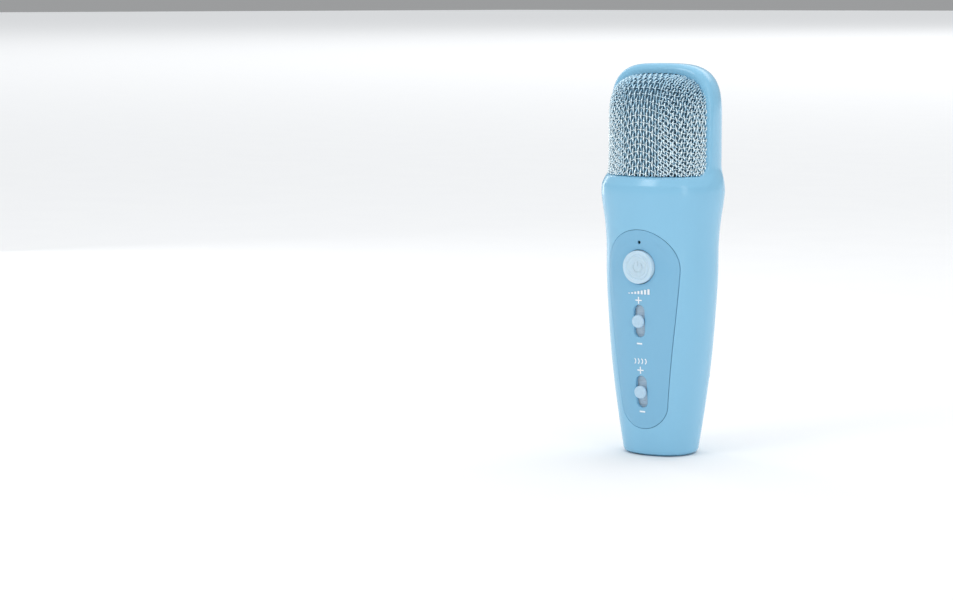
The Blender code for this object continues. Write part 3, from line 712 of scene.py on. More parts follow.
def crown_reach(x, slope, inset):
    """The surface point at a sideways distance, at an angle above the crown's foot."""
    insets = (SIDE_INSET + inset, FRONT_INSET + inset, HEIGHT - CLOTH_TOP - inset)

    def spot(reach):
        return x, -reach * cos(slope), CROWN_START + reach * sin(slope)
    return spot(solve(lambda reach: excess(*spot(reach), *insets), 0.0, FAR, 1.0))


CROWN_SLOPES = np.linspace(0.0, radians(95), 44)
crown_tables = {}


def foot_x(turn, inset=0.0):
    """How far sideways the cloth lies at a turn, at the crown's foot."""
    return skin_point(turn, CROWN_START, side=SIDE_INSET + inset, front=FRONT_INSET + inset).x


def crown_table(turn):
    """Run, skin points and deeper points of the cloth over the crown, at a turn."""
    key = round(turn, 6)
    if key not in crown_tables:
        skin, deep = (np.array([crown_reach(foot_x(turn, inset), slope, inset)
                                for slope in CROWN_SLOPES]) for inset in (0.0, MM))
        steps = np.linalg.norm(np.diff(skin, axis=0), axis=1)
        crown_tables[key] = (np.concatenate([[0.0], np.cumsum(steps)]), skin, deep)
    return crown_tables[key]


def cloth_point(turn, run, lift=0.0):
    """A point of the grille's cloth: turn from the front, run upwards from the base."""
    if run <= CROWN_START:
        return skin_point(turn, run, side=SIDE_INSET - lift, front=FRONT_INSET - lift)
    runs, skin, deep = crown_table(abs(turn))
    place = run - CROWN_START
    spot = [np.interp(place, runs, skin[:, k]) * (1 + lift / MM)
            - np.interp(place, runs, deep[:, k]) * lift / MM for k in range(3)]
    return Vector((copysign(spot[0], turn), spot[1], spot[2]))


def column_turn(column):
    """The turn at which a warp stands; they crowd a little towards the sides."""
    even = column * WARP_PITCH / GRILLE_RADIUS
    return even - 0.05 * even ** 3


def row_at(x, run):
    """The number of the weft at a run up the cloth, which is drawn over a dome."""
    reach = min(abs(x) / SINK_REACH, 1.0)
    fall = SINK * (1 - cos(pi * reach)) / 2 * (1 - 0.85 * ease(run, SINK_TOP, CLOTH_END))
    stray = ease(abs(x), 4 * MM, 12 * MM) * STRAY * (
        sin(run / (2.3 * MM) + x / (1.1 * MM)) + sin(run / (3.7 * MM) - x / (0.8 * MM)))
    return (run + fall + stray - FIRST_ROW) / WEFT_PITCH


def side_share(x):
    """0 in the middle of the cloth and 1 at its flanks, where the rows stand twice as close."""
    return ease(abs(x), 4.5 * MM, 10.5 * MM)


def weave_wave(row, column, x):
    """How far over (1) or under (-1) the wefts a warp runs."""
    flank_share = side_share(x)
    return ((1 - flank_share) * cos(pi * (row + column))
            + flank_share * cos(pi * (2 * row + column)))


def weft_path(half_row, lowest):
    """Points along a weft, each with its painted light: painted highlight where it lies over the
    warps, painted shade where it dips under them; odd half rows lie on the flanks only.
    """
    runs = np.arange(lowest - MM, CLOTH_REACH, 0.5 * MM)
    for step in range(-COLUMNS * 5, COLUMNS * 5 + 1):
        turn = column_turn(step / 5 + 0.5)
        if step not in row_tables:
            x = foot_x(turn)
            row_tables[step] = (x, np.array([row_at(x, run) for run in runs]))
        x, rows = row_tables[step]
        run = float(np.interp(half_row / 2, rows, runs, left=0.0, right=0.0))
        wave = weave_wave(half_row / 2, step / 5, x)
        if run < lowest or (half_row % 2 and side_share(x) < 0.5):
            yield None, 0.0
            continue
        spot = cloth_point(turn, run, -WEFT_LIFT * wave - CLOTH_DEPTH)
        # painted highlight where the weft lies over the warps, painted shade where it dips and
        # where the cloth turns in under the hoop
        weft_painted_light = (0.85 - 0.15 * wave) * (1 - CROWN_PAINTED_SHADE * ease(run, CROWN_START, CLOTH_END))
        yield (spot if spot.y < GRILLE_BACK_Y else None), weft_painted_light


def tubes(name, paths, radius, body, sides=8):
    """Round wires along paths of points, as one piece."""
    points = []
    faces = []
    ring = [(cos(2 * pi * i / sides), sin(2 * pi * i / sides))
            for i in range(sides)]
    for path in paths:
        spots = np.array([tuple(p) for p in path])
        along = np.gradient(spots, axis=0)
        along /= np.linalg.norm(along, axis=1)[:, None]
        outward = spots - np.array([0.0, 0.0, 120 * MM])
        outward -= along * np.sum(outward * along, axis=1)[:, None]
        outward /= np.linalg.norm(outward, axis=1)[:, None]
        across = np.cross(along, outward)
        base = len(points)
        for spot, up, side in zip(spots, outward, across):
            points += [spot + radius * (a * up + b * side) for a, b in ring]
        rings = [list(range(i, i + sides)) for i in range(base, len(points), sides)]
        for low, high in zip(rings, rings[1:]):
            faces += band(low, high)
        faces += [rings[0], rings[-1]]
    return mesh_piece(name, points, faces, body, sharp=60)


def warp_path(column, lowest):
    """Points along a warp, each with its painted light: painted highlight where it stands over the
    wefts, painted shade where it dips under them.
    """
    turn = column_turn(column + 0.5)
    x = foot_x(turn)
    aside = cloth_point(turn + 0.02, CROWN_START) - cloth_point(turn - 0.02, CROWN_START)
    aside.normalize()
    for run in np.arange(lowest, CLOTH_REACH, 0.3 * MM):
        row = row_at(x, run)
        wave = weave_wave(row, column, x)
        lean = WARP_LEAN * (0.3 + 0.7 * side_share(x)) * sin(2 * pi * row + 1.3 * column)
        spot = cloth_point(turn, run, WARP_LIFT * wave - CLOTH_DEPTH) + aside * lean
        if spot.y <= GRILLE_BACK_Y:
            # painted highlight where the warp stands over the wefts, painted shade where it dips
            # and where the cloth turns in under the hoop
            yield spot, (0.5 + 0.5 * wave) * (1 - CROWN_PAINTED_SHADE * ease(run, CROWN_START, CLOTH_END))
        elif run > CROWN_START:
            return


def stretches(path):
    """The wires that a path of (point, painted light) pairs is made of; None is a gap between two.
    """
    wires = [[]]
    for spot, painted_light in path:
        if spot:
            wires[-1].append((spot, painted_light))
        else:
            wires.append([])
    return [wire for wire in wires if len(wire) > 4]


def woven_piece(name, paths, radius, sides):
    """Wires with their painted highlight and shade, as one piece."""
    wires = [wire for path in paths for wire in stretches(path)]
    obj = tubes(name, [[spot for spot, _ in wire] for wire in wires], radius, "body", sides)
    values = np.repeat([painted_light for wire in wires for _, painted_light in wire], sides)
    # a point attribute carrying the wires' painted highlight and painted shade
    attribute = obj.data.attributes.new("painted_light", "FLOAT", "POINT")
    attribute.data.foreach_set("value", values.astype(np.float32))
    return obj


def woven_grille():
    """Woven steel wires over the front of the head."""
    lowest = LEDGE_Z + 0.12 * MM
    warps = [warp_path(column, lowest) for column in range(-COLUMNS, COLUMNS + 1)]
    wefts = [weft_path(half_row, lowest) for half_row in range(HALF_ROWS)]
    return (woven_piece("grille_warps", warps, WARP_RADIUS, 7),
            woven_piece("grille_wefts", wefts, WEFT_RADIUS, 6))


# ---- turned and moulded pieces -------------------------------------------------
def rounded_profile(corners, steps=5):
    """(radius, height) points of a profile whose corners (radius, height, fillet) are rounded."""
    points = []
    for index, (r, h, fillet) in enumerate(corners):
        here = Vector((r, h))
        if not fillet or index in (0, len(corners) - 1):
            points.append(here)
            continue
        to_last = Vector(corners[index - 1][:2]) - here
        to_next = Vector(corners[index + 1][:2]) - here
        reach = min(fillet, 0.49 * to_last.length, 0.49 * to_next.length)
        start = here + to_last.normalized() * reach
        end = here + to_next.normalized() * reach
        for step in range(steps + 1):
            t = step / steps
            points.append((1 - t) ** 2 * start + 2 * t * (1 - t) * here + t * t * end)
    return points


def turned(name, corners, place, body, sides=72):
    """A lathe piece; corners are in mm and place maps its own frame, with +Z its axis."""
    profile = rounded_profile([[c * MM for c in corner] for corner in corners])
    points = []
    faces = []
    rows = []
    for r, h in profile:
        if r < 1e-7:
            points.append(place @ Vector((0.0, 0.0, h)))
            rows.append([len(points) - 1] * sides)
            continue
        rows.append(list(range(len(points), len(points) + sides)))
        points += [place @ Vector((r * cos(a), r * sin(a), h))
                   for a in np.linspace(0.0, 2 * pi, sides + 1)[:-1]]
    for low, high in zip(rows, rows[1:]):
        faces += [face for face in map(distinct, band(low, high)) if len(face) > 2]
    if len(set(rows[0])) > 1 and rows[0] != rows[-1] and profile[0] != profile[-1]:
        faces.append(rows[0][::-1])
    return mesh_piece(name, points, faces, body)


def on_front(z):
    """The frame on the casing's front centre line, with +Z pointing out and +Y up."""
    step = 2.0 * MM
    lean = atan((section(z + step)[1] - section(z - step)[1]) / (2 * step))
    out = Vector((0.0, -cos(lean), -sin(lean)))
    up = Vector((0.0, -sin(lean), cos(lean)))
    spot = skin_point(0.0, z)
    rows = [[1.0, 0.0, 0.0, spot.x], [0.0, up.y, out.y, spot.y], [0.0, up.z, out.z, spot.z],
            [0.0, 0.0, 0.0, 1.0]]
    return Matrix(rows)


def join(name, objects, body):
    """Several pieces as one."""
    bm = bmesh.new()
    for obj in objects:
        bm.from_mesh(obj.data)
        bpy.data.objects.remove(obj)
    return add_object(name, shaded(bpy.data.meshes.new(name), bm, SHARP_ANGLE), body)


def power_button():
    """Dished cap with a raised rim and a raised power sign."""
    r = BUTTON_RADIUS / MM
    corners = [(0.0, 0.62, 0), (3.4, 0.66, 0.2), (3.75, 0.86, 0.2), (4.15, 0.9, 0.2),
               (4.45, 0.74, 0.15), (4.75, 0.78, 0.2), (5.0, 1.06, 0.25), (r - 0.3, 1.08, 0.45),
               (r, 0.75, 0.3), (r, -2.3, 0), (r - 1.0, -2.3, 0), (r - 1.0, -0.5, 0),
               (1.6, -0.5, 0), (1.6, -3.4, 0), (0.0, -3.4, 0)]
    place = on_front(BUTTON_Z)
    cap = turned("cap", corners, place, None)
    sign_radius, sign_height = 1.9 * MM, 0.66 * MM
    ring = [place @ Vector((sign_radius * sin(a), sign_radius * cos(a), sign_height))
            for a in np.linspace(radians(38), radians(322), 50)]
    bar = [place @ Vector((0.0, MM * h, sign_height)) for h in np.linspace(0.4, 2.3, 8)]
    sign = tubes("sign", [ring, bar], 0.17 * MM, None)
    return join("power_cap", [cap, sign], "power_button")


def knob(prefix, z):
    """Round dished knob on its stem."""
    corners = [(0.0, 1.28, 0), (0.9, 1.32, 0.3), (1.55, 1.62, 0.4), (2.05, 1.7, 0.35),
               (2.48, 1.2, 0.45), (2.5, 0.4, 0.15), (2.3, 0.3, 0.1), (1.5, 0.3, 0),
               (1.5, -1.6, 0), (0.0, -1.6, 0)]
    return turned(f"{prefix}_cap", corners, on_front(z), f"{prefix}_slider")


def shutter(prefix, z):
    """Thin plate behind a slot, with grip ridges either side of the knob."""
    low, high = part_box(f"{prefix}_shutter")
    length = (high.z - low.z) / 2
    place = on_front(z)
    face_depth = -1.95 * MM
    thickness = 0.42 * MM
    width = 2.9 * MM
    ridge_height, ridge_pitch = 0.1 * MM, 1.05 * MM
    rows, columns = 121, 9
    points = []
    for i in range(rows):
        v = -length + 2 * length * i / (rows - 1)
        edge = max(abs(v) - (length - width), 0.0)
        half = max(sqrt(max(width * width - edge * edge, 0.0)), 0.25 * MM)
        ridge = ridge_height * (0.5 + 0.5 * cos(2 * pi * v / ridge_pitch))
        lifted = ridge if abs(v) < length - 1.2 * MM else 0.0
        for j in range(columns):
            u = j / 4 - 1
            points.append(place @ Vector((half * u, v, face_depth + lifted * (1 - u ** 4))))
    faces = grid_faces(rows, columns)
    rim = grid_rim(rows, columns)
    back = list(range(len(points), len(points) + len(rim)))
    out = (place.to_3x3() @ Vector((0.0, 0.0, 1.0))) * thickness
    points += [points[i] - out for i in rim]
    faces += band(rim, back) + [back]
    return mesh_piece(f"{prefix}_shutter_plate", points, faces, f"{prefix}_slider")


def screw_place(x, z, lift=0.0):
    """The frame on a casing screw's seat, with +Z pointing out of the back."""
    seat = Vector((x, parting_y(z) + SCREW_SEAT + lift, z))
    return Matrix.Translation(seat) @ Matrix.Rotation(-pi / 2, 4, "X")


def casing_screw(label, x, z):
    """Pan-head screw with a cross recess, seated in its deep hole."""
    place = screw_place(x, z, 0.15 * MM)
    sides = 72
    arm_half, arm_reach = 0.3, 1.12             # mm, as are the sizes below
    rings = [(0.0, 0), (0.25, 0), (0.5, 0), (0.7, 0), (0.9, 0), (1.05, 0), (1.15, 0), (1.3, 0),
             (1.5, 0), (1.75, 0.12), (1.95, 0.32), (2.06, 0.6), (2.1, 0.95), (2.1, 1.6)]
    points = []
    for r, drop in rings:
        for k in range(sides):
            x, y = (r * f(2 * pi * k / sides) for f in (cos, sin))
            arm, reach = sorted((abs(x), abs(y)))
            recess = 0.75 * ramp(-arm, -arm_half, 0.08 - arm_half) * ramp(
                -reach, -arm_reach, 0.12 - arm_reach)
            height = 1.7 - drop - recess - 0.06 * (r / 1.5) ** 2
            points.append(place @ Vector((x * MM, y * MM, height * MM)))
    faces = []
    for i in range(0, sides * (len(rings) - 1), sides):
        faces += band(list(range(i, i + sides)), list(range(i + sides, i + 2 * sides)))
    head = mesh_piece("head", points, faces, None)
    shaft = [(2.1, 0.1, 0), (2.1, 0.0, 0), (0.95, 0.0, 0)]
    for turn in range(14):
        h = -0.6 * turn - 0.3
        shaft += [(0.8, h, 0), (1.08, h - 0.28, 0)]
    thread = turned("thread", shaft + [(0.0, -8.9, 0)], place, None, sides=32)
    return join(f"{label}_screw", [head, thread], "body")


def screw_collar(x, z):
    """The deep seat under a casing screw."""
    half_width, half_depth = section(z)
    surface = half_depth * sqrt(max(1 - (x / half_width) ** 2, 0.0))
    rise = (surface - parting_y(z) - SCREW_SEAT) / MM - 1.0
    corners = [(1.4, -1.2, 0), (1.4, 0.0, 0), (2.42, 0.0, 0.1), (2.42, rise, 0),
               (3.4, rise - 0.6, 0), (3.4, -1.2, 0), (1.4, -1.2, 0)]
    return turned("collar", corners, screw_place(x, z), None, sides=48)


def printed(name, outlines, z):
    """Flat print on the panel; outlines are (x, height) polygons in mm about a height."""
    points = []
    faces = []
    for outline in outlines:
        ring = np.array(outline)
        low, high = ring.min(0), ring.max(0)
        across, up = (np.arange(low[k] + 0.2, high[k], 0.4) for k in (0, 1))
        extra = np.stack(np.meshgrid(across, up, indexing="ij"), -1).reshape(-1, 2)
        spots = [Vector(p) for p in [*outline, *extra[inside_rings(extra, [ring])]]]
        edges = [((i - 1) % len(outline), i) for i in range(len(outline))]
        flat, _, tris, _, _, _ = delaunay_2d_cdt(spots, edges, [], 1, 1e-6)
        base = len(points)
        for u, v in flat:
            turn = turn_at_x(z + v * MM, u * MM)
            points.append(skin_point(turn, z + v * MM, side=-PRINT_LIFT, top=HEIGHT))
        faces += [[base + c for c in tri] for tri in tris]
    return mesh_piece(name, points, faces, "body")


def bar_outline(x, height, half_width, half_height, radius):
    """A rounded bar as a polygon, in mm."""
    points = []
    for sx, sy, start in ((1, 1, 0), (-1, 1, 90), (-1, -1, 180), (1, -1, 270)):
        points += arc(x + sx * (half_width - radius), height + sy * (half_height - radius),
                      radius, radians(start), radians(start + 90), 5)
    return points


def plus_outline(arm=1.35, half=0.24):
    """A plus sign as a polygon, in mm."""
    return [(half, half), (half, arm), (-half, arm), (-half, half), (-arm, half), (-arm, -half),
            (-half, -half), (-half, -arm), (half, -arm), (half, -half), (arm, -half), (arm, half)]


def wave_outline(x, radius, half_width, spread):
    """A slice of a ring that opens to the left, as a polygon, in mm."""
    return (arc(x, 0.0, radius + half_width, -spread, spread, 14)
            + arc(x, 0.0, radius - half_width, spread, -spread, 14))


def panel_prints():
    """Plus and minus signs, rising bars for volume and spreading waves for echo."""
    rising = [bar_outline(-4.2 + 1.4 * i, -0.9 + 0.15 * i, 0.42, 0.15 + 0.15 * i, 0.13)
              for i in range(7)]
    waves = [wave_outline(-3.2 + 1.5 * i, 1.3, 0.2, 0.9) for i in range(4)]
    plus = [plus_outline()]
    minus = [bar_outline(0.0, 0.0, 1.15, 0.3, 0.08)]
    prints = (("volume_sign", rising, 64.1), ("volume_plus", plus, 60.7),
              ("volume_minus", minus, 44.0), ("echo_sign", waves, 37.2),
              ("echo_plus", plus, 33.7), ("echo_minus", minus, 17.5))
    return [printed(name, outlines, height * MM) for name, outlines, height in prints]


def foam_skin():
    """Open-celled foam liner behind the grille."""
    points = []
    turns = np.linspace(-FOAM_TURN, FOAM_TURN, 150)
    runs = np.arange(LEDGE_Z + 0.7 * MM, CROWN_START + crown_table(0.0)[0][-1], 0.42 * MM)
    for run in runs:
        for turn in turns:
            spot = cloth_point(turn, run, -FOAM_DEPTH)
            spot.y = min(spot.y, GRILLE_BACK_Y)
            grain = (sin(turn * 310) * sin(run * 15300)     # lumps of about half a millimetre
                     + sin(turn * 190 + 1.0) * sin(run * 9100 + 2.0))
            core = Vector((0.0, 0.0, min(spot.z, CROWN_START)))
            points.append(core + (spot - core) * (1 - 0.004 * (1 + grain)))
    skin = Shell()
    skin.outer = points
    skin.inner = [Vector((p.x * FOAM_CORE, min(p.y * FOAM_CORE, GRILLE_BACK_Y), min(p.z, FOAM_TOP)))
                  for p in points]
    skin.faces = [list(face) for face in grid_faces(len(runs), len(turns))]
    foam = skin.build("foam_liner", "body")
    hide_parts("foam_windscreen")
    return foam


def battery_pad():
    """Soft foam block between the battery and the rear casing."""
    low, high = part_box("battery_pad")
    middle = (low + high) / 2
    half = (high - low) / 2
    points = []
    count = 41
    for side in (1, -1):
        for u in np.linspace(-1, 1, count):
            for v in np.linspace(-1, 1, count):
                crown = (1 - u ** 8) * (1 - v ** 8)
                points.append(middle + Vector((u * half.x * (1 - 0.04 * v * v),
                                               side * half.y * (0.55 + 0.42 * crown ** 0.4),
                                               v * half.z * (1 - 0.015 * u * u))))
    sheet = count ** 2
    faces = grid_faces(count, count) + grid_faces(count, count, sheet)
    rim = grid_rim(count, count)
    faces += band(rim, [i + sheet for i in rim])
    pad = mesh_piece("battery_cushion", points, faces, "body")
    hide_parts("battery_pad")
    return pad


# ---- materials -----------------------------------------------------------------
class Finish:
    """A procedural material on the Principled shader, built up node by node."""

    def __init__(self, name, colour, roughness, metallic=0.0, coat=0.0, subsurface=0.0):
        self.material = bpy.data.materials.new(name)
        self.material.use_nodes = True
        self.material.diffuse_color = (*colour, 1.0)
        self.tree = self.material.node_tree
        self.shader = self.tree.nodes["Principled BSDF"]
        for key, value in (("Base Color", (*colour, 1.0)), ("Roughness", roughness),
                           ("Metallic", metallic), ("Coat Weight", coat),
                           ("Coat Roughness", 0.12), ("Subsurface Weight", subsurface),
                           ("Subsurface Radius", (0.0015, 0.002, 0.0025)),
                           ("Subsurface Scale", 1.0)):
            self.shader.inputs[key].default_value = value
        self.colour = None
        self.base = colour
        self.height = None
        self.place = self.node("ShaderNodeTexCoord").outputs["Object"]

    def node(self, kind, **values):
        """A new node with some of its inputs or properties set."""
        node = self.tree.nodes.new(kind)
        for key, value in values.items():
            if key in node.inputs:
                node.inputs[key].default_value = value
            else:
                setattr(node, key, value)
        return node

    def link(self, source, target):
        """Join two sockets."""
        self.tree.links.new(source, target)

    def noise(self, size, detail=4.0, stretch=(1.0, 1.0, 1.0)):
        """Noise whose features are about a size in metres."""
        place = self.place
        if stretch != (1.0, 1.0, 1.0):
            mapping = self.node("ShaderNodeMapping", Scale=stretch)
            self.link(place, mapping.inputs["Vector"])
            place = mapping.outputs["Vector"]
        noise = self.node("ShaderNodeTexNoise", Scale=1.0 / size, Detail=detail)
        self.link(place, noise.inputs["Vector"])
        return noise.outputs["Fac"]

    def remap(self, source, low, high, start=0.3, end=0.7):
        """A value spread between two numbers."""
        node = self.node("ShaderNodeMapRange")
        for key, value in zip(("From Min", "From Max", "To Min", "To Max"),
                              (start, end, low, high)):
            node.inputs[key].default_value = value
        self.link(source, node.inputs["Value"])
        return node.outputs["Result"]

    def tint(self, source, colour, amount, start=0.35, end=0.7):
        """Mix another colour in where a source is high."""
        mix = self.node("ShaderNodeMix", data_type="RGBA")
        self.link(self.remap(source, 0.0, amount, start, end), mix.inputs["Factor"])
        if self.colour is None:
            mix.inputs[6].default_value = (*self.base, 1.0)
        else:
            self.link(self.colour, mix.inputs[6])
        mix.inputs[7].default_value = (*colour, 1.0)
        self.colour = mix.outputs[2]
        self.link(self.colour, self.shader.inputs["Base Color"])

    def rough(self, source, low, high, start=0.3, end=0.7):
        """Let roughness follow a source."""
        self.link(self.remap(source, low, high, start, end), self.shader.inputs["Roughness"])

    def bump(self, source, depth, strength=1.0):
        """Raise the surface by a source, on top of earlier bumps."""
        bump = self.node("ShaderNodeBump", Strength=strength, Distance=depth)
        self.link(source, bump.inputs["Height"])
        if self.height is not None:
            self.link(self.height, bump.inputs["Normal"])
        self.height = bump.outputs["Normal"]
        self.link(self.height, self.shader.inputs["Normal"])

    def edges(self, colour, amount):
        """Edges rubbed a little paler."""
        sharpness = self.node("ShaderNodeNewGeometry").outputs["Pointiness"]
        self.tint(sharpness, colour, amount, 0.55, 0.64)


def moulded(name, colour, low, high, grain=0.00022, rub=0.3, **more):
    """Injection-moulded plastic: fine spark grain, faint flow marks, rubbed edges."""
    finish = Finish(name, colour, (low + high) / 2, **more)
    pale = tuple(min(c * 1.25 + 0.05, 1.0) for c in colour)
    deep = tuple(c * 0.93 for c in colour)
    finish.tint(finish.noise(0.016, 3.0, (1.0, 1.0, 0.35)), deep, 0.25)
    finish.tint(finish.noise(0.0006, 3.0), pale, 0.02)
    if rub:
        finish.edges(pale, rub)
    finish.rough(finish.noise(0.006, 5.0), low, high)
    finish.bump(finish.noise(grain, 3.0), 0.000002, 0.3)
    return finish.material


def metal(name, colour, low, high, brush=(1.0, 1.0, 1.0), dirt=(0.2, 0.22, 0.24)):
    """Drawn or plated metal with fine lines and a little dulling."""
    finish = Finish(name, colour, (low + high) / 2, metallic=1.0)
    finish.tint(finish.noise(0.0016, 5.0), dirt, 0.35, 0.5, 0.8)
    finish.edges((0.95, 0.96, 0.97), 0.4)
    finish.rough(finish.noise(0.0006, 4.0, brush), low, high)
    finish.bump(finish.noise(0.00012, 3.0, brush), 0.000006, 0.5)
    return finish.material


def woven_wire():
    """Tinned wire, with painted highlight where the weave stands proud and painted shade in its
    hollows and where it turns in under the hoop.
    """
    finish = Finish("wire_steel", (0.31, 0.52, 0.66), 0.3, metallic=1.0)
    painted_light = finish.node("ShaderNodeAttribute", attribute_name="painted_light").outputs["Fac"]
    # painted highlight: where the attribute is high the wire is tinted pale; low values keep the
    # darker base as painted shade
    finish.tint(painted_light, (0.84, 0.96, 1.0), 1.0, 0.35, 0.95)
    finish.tint(finish.noise(0.0014, 4.0), (0.14, 0.20, 0.26), 0.35, 0.5, 0.75)
    finish.rough(finish.noise(0.0007, 4.0), 0.18, 0.36)
    finish.bump(finish.noise(0.00015, 3.0), 0.000006, 0.5)
    return finish.material


def foam_finish(name, colour, deep):
    """Open-celled foam, with painted shade in its pits."""
    finish = Finish(name, colour, 0.9)
    cells = finish.node("ShaderNodeTexVoronoi", Scale=1.0 / 0.0007)
    finish.link(finish.place, cells.inputs["Vector"])
    # painted shade: the pits that the bump below presses in at the cell points are tinted dark
    finish.tint(cells.outputs["Distance"], deep, 0.8, 0.35, 0.05)
    finish.tint(finish.noise(0.004, 4.0), tuple(c * 1.3 for c in colour), 0.3)
    finish.rough(finish.noise(0.002), 0.8, 0.98)
    finish.bump(cells.outputs["Distance"], 0.00035, 0.8)
    return finish.material


def board_finish():
    """Green solder mask with copper traces under it."""
    finish = Finish("solder_mask", (0.02, 0.17, 0.09), 0.3, coat=0.4)
    lines = finish.node("ShaderNodeTexBrick", Scale=260.0)
    lines.inputs["Mortar Size"].default_value = 0.035
    turned_place = finish.node("ShaderNodeMapping", Rotation=(pi / 2, 0.0, 0.0))
    finish.link(finish.place, turned_place.inputs["Vector"])
    finish.link(turned_place.outputs["Vector"], lines.inputs["Vector"])
    finish.tint(lines.outputs["Fac"], (0.05, 0.32, 0.16), 0.7, 0.0, 1.0)
    finish.tint(finish.noise(0.003, 4.0), (0.01, 0.10, 0.06), 0.3)
    finish.rough(finish.noise(0.002), 0.22, 0.4)
    finish.bump(lines.outputs["Fac"], 0.00003, 0.6)
    return finish.material


# ---- view, light and floor -----------------------------------------------------
camera = add_object("camera", bpy.data.cameras.new("camera"))
bpy.context.scene.camera = camera
camera.data.lens = 98.7
camera.data.sensor_width = 36.0
VIEW_TURN = radians(28.6)      # where the camera stands round the microphone
VIEW_RISE = radians(5.58)      # and how far above its middle
VIEW_DISTANCE = 1.008
VIEW_HEIGHT = 0.0752
VIEW_HEADING = radians(4.09)   # the microphone stands right of the picture's middle
VIEW_PITCH = radians(6.51)
heading = VIEW_HEADING + VIEW_TURN
camera.location = (VIEW_DISTANCE * cos(VIEW_RISE) * sin(VIEW_TURN),
                   -VIEW_DISTANCE * cos(VIEW_RISE) * cos(VIEW_TURN),
                   VIEW_HEIGHT + VIEW_DISTANCE * sin(VIEW_RISE))
aim = Vector((-sin(heading) * cos(VIEW_PITCH),
              cos(heading) * cos(VIEW_PITCH), -sin(VIEW_PITCH)))
camera.rotation_euler = aim.to_track_quat("-Z", "Y").to_euler()


def soft_light(name, location, target, width, height, power):
    """A soft box."""
    light = bpy.data.lights.new(name, "AREA")
    light.shape = "RECTANGLE"
    light.size = width
    light.size_y = height
    light.energy = power
    obj = add_object(name, light)
    obj.location = location
    obj.rotation_euler = (Vector(target) - Vector(location)).to_track_quat("-Z", "Y").to_euler()


# ---- pieces --------------------------------------------------------------------
def dress(obj, material):
    """Give a piece its material."""
    obj.data.materials.clear()
    obj.data.materials.append(material)


BLUE = (0.262, 0.575, 0.80)
PALE = (0.50, 0.70, 0.86)
casing_plastic = moulded("casing_plastic", BLUE, 0.16, 0.22, rub=0.0)
panel_plastic = moulded("panel_plastic", (0.222, 0.505, 0.725), 0.20, 0.23, rub=0.0)
button_plastic = moulded("button_plastic", (0.56, 0.74, 0.88), 0.18, 0.30, coat=0.3,
                         subsurface=0.25)
knob_plastic = moulded("knob_plastic", PALE, 0.28, 0.42)
shutter_plastic = moulded("shutter_plastic", (0.57, 0.71, 0.82), 0.36, 0.5)
white_plastic = moulded("white_plastic", (0.80, 0.82, 0.82), 0.38, 0.52)
rubber = moulded("rubber", (0.03, 0.032, 0.035), 0.6, 0.8)
print_ink = moulded("print_ink", (0.92, 0.95, 0.98), 0.45, 0.6)
wire_steel = woven_wire()
plated_steel = metal("plated_steel", (0.66, 0.67, 0.68), 0.22, 0.42)
foam_blue = foam_finish("foam_blue", (0.22, 0.36, 0.46), (0.06, 0.11, 0.16))
battery_wrap = moulded("battery_wrap", (0.05, 0.22, 0.52), 0.2, 0.32, coat=0.5)
lead_cover = moulded("lead_cover", (0.45, 0.05, 0.04), 0.4, 0.55)
solder_mask = board_finish()
lamp_lens = moulded("lamp_lens", (0.78, 0.80, 0.78), 0.12, 0.25, subsurface=0.2)


def show(obj, node, material):
    """Put a piece in a CAD node's place."""
    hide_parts(node)
    dress(obj, material)


show(casing_front().build("casing_front", "body"), "front_housing", casing_plastic)
collars = [screw_collar(hand * x, z) for x, z in SCREW_SPOTS for hand in (-1, 1)]
rear = join("casing_rear", [casing_rear().build("rear_shell", None)] + collars, "body")
show(rear, "rear_housing", casing_plastic)
show(control_panel().build("panel_skin", "body"), "control_panel", panel_plastic)
for wire in woven_grille():
    show(wire, "front_grille", wire_steel)
dress(foam_skin(), foam_blue)
dress(battery_pad(), foam_blue)
show(power_button(), "power_button", button_plastic)
for prefix, height in (("volume", VOLUME_Z), ("echo", ECHO_Z)):
    show(knob(prefix, height), f"{prefix}_knob", knob_plastic)
    show(shutter(prefix, height), f"{prefix}_shutter", shutter_plastic)
for label, (x, z) in zip(("upper", "lower"), SCREW_SPOTS):
    for hand, word in ((-1, "left"), (1, "right")):
        screw = casing_screw(f"{label}_{word}", hand * x, z)
        show(screw, f"casing_screw_{label}_{word}", plated_steel)
for mark in panel_prints():
    dress(mark, print_ink)

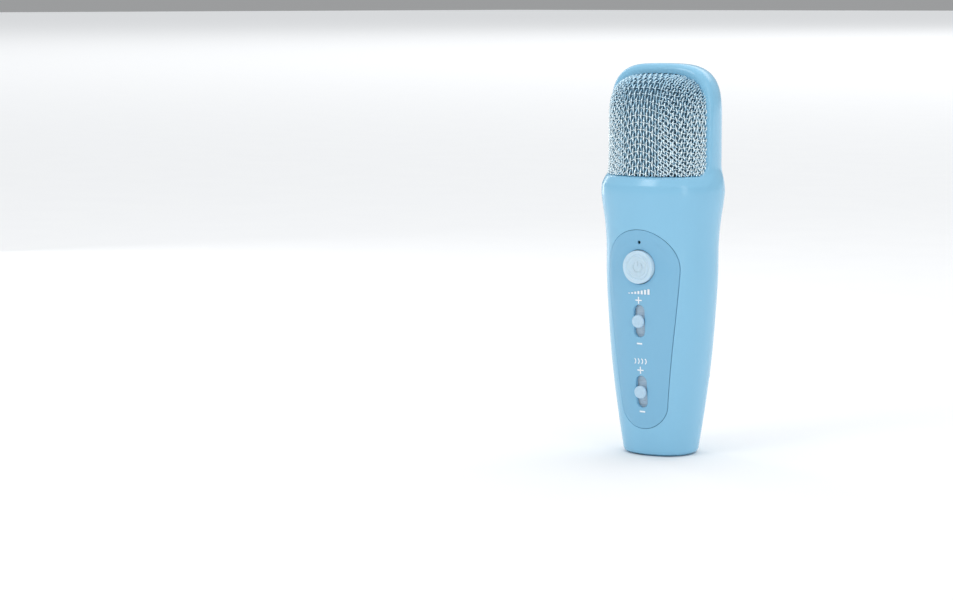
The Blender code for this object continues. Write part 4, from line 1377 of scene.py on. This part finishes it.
NODE_FINISHES = [
    (white_plastic, "grille_frame capsule_bracket volume_lever echo_lever battery_connector"),
    (rubber, "capsule_holder switch_plunger"),
    (plated_steel, "microphone_capsule tact_switch volume_potentiometer echo_potentiometer"),
    (plated_steel, "board_screw_upper board_screw_lower radio_module usb_port"),
    (solder_mask, "circuit_board charging_board"), (lamp_lens, "indicator_led"),
    (battery_wrap, "battery"), (lead_cover, "capsule_lead battery_lead")]
for finish, node_names in NODE_FINISHES:
    for node_name in node_names.split():
        for material_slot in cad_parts[node_name].material_slots:
            material_slot.material = finish


# ---- floor and light -----------------------------------------------------------
def floor():
    """A wide pale floor with the faintest unevenness."""
    count = 25
    half = 30.0
    points = [(x, y + 18.0, -0.02 * MM) for x in np.linspace(-half, half, count)
              for y in np.linspace(-half, half, count)]
    sheet = mesh_piece("floor", points, grid_faces(count, count), None)
    finish = Finish("floor_paper", (0.905, 0.91, 0.915), 0.5)
    finish.tint(finish.noise(0.05, 3.0), (0.875, 0.88, 0.89), 0.3)
    finish.rough(finish.noise(0.02, 4.0), 0.45, 0.6)
    finish.bump(finish.noise(0.0012, 4.0), 0.00002, 0.3)
    finish.shader.inputs["Specular IOR Level"].default_value = 0.0
    sheet.data.materials.append(finish.material)


floor()
bpy.context.scene.view_settings.view_transform = "Standard"
MIDDLE = (0, 0, 0.08)
soft_light("key", (-0.35, -1.0, 0.95), MIDDLE, 0.45, 0.45, 2.6)
soft_light("right_box", (0.84, -0.56, 0.35), MIDDLE, 0.22, 1.0, 1.4)
soft_light("left_strip", (-0.75, 0.35, 0.30), MIDDLE, 0.14, 1.0, 1.3)
soft_light("top", (0.0, 0.1, 1.2), MIDDLE, 0.9, 0.9, 2.0)
soft_light("far_floor", (0.0, 9.0, 6.0), (0.0, 9.0, 0.0), 10.0, 10.0, 390.0)
world = bpy.data.worlds.new("room")
bpy.context.scene.world = world
world.use_nodes = True
sky = world.node_tree
rise = sky.nodes.new("ShaderNodeMapRange")
parts = sky.nodes.new("ShaderNodeSeparateXYZ")
sky.links.new(sky.nodes.new("ShaderNodeTexCoord").outputs["Generated"], parts.inputs["Vector"])
sky.links.new(parts.outputs["Z"], rise.inputs["Value"])
rise.inputs["To Min"].default_value = 0.34      # brightness at the horizon
rise.inputs["To Max"].default_value = 1.0       # and overhead
sky.links.new(rise.outputs["Result"], sky.nodes["Background"].inputs["Strength"])
sky.nodes["Background"].inputs["Color"].default_value = (0.97, 0.985, 1.0, 1)
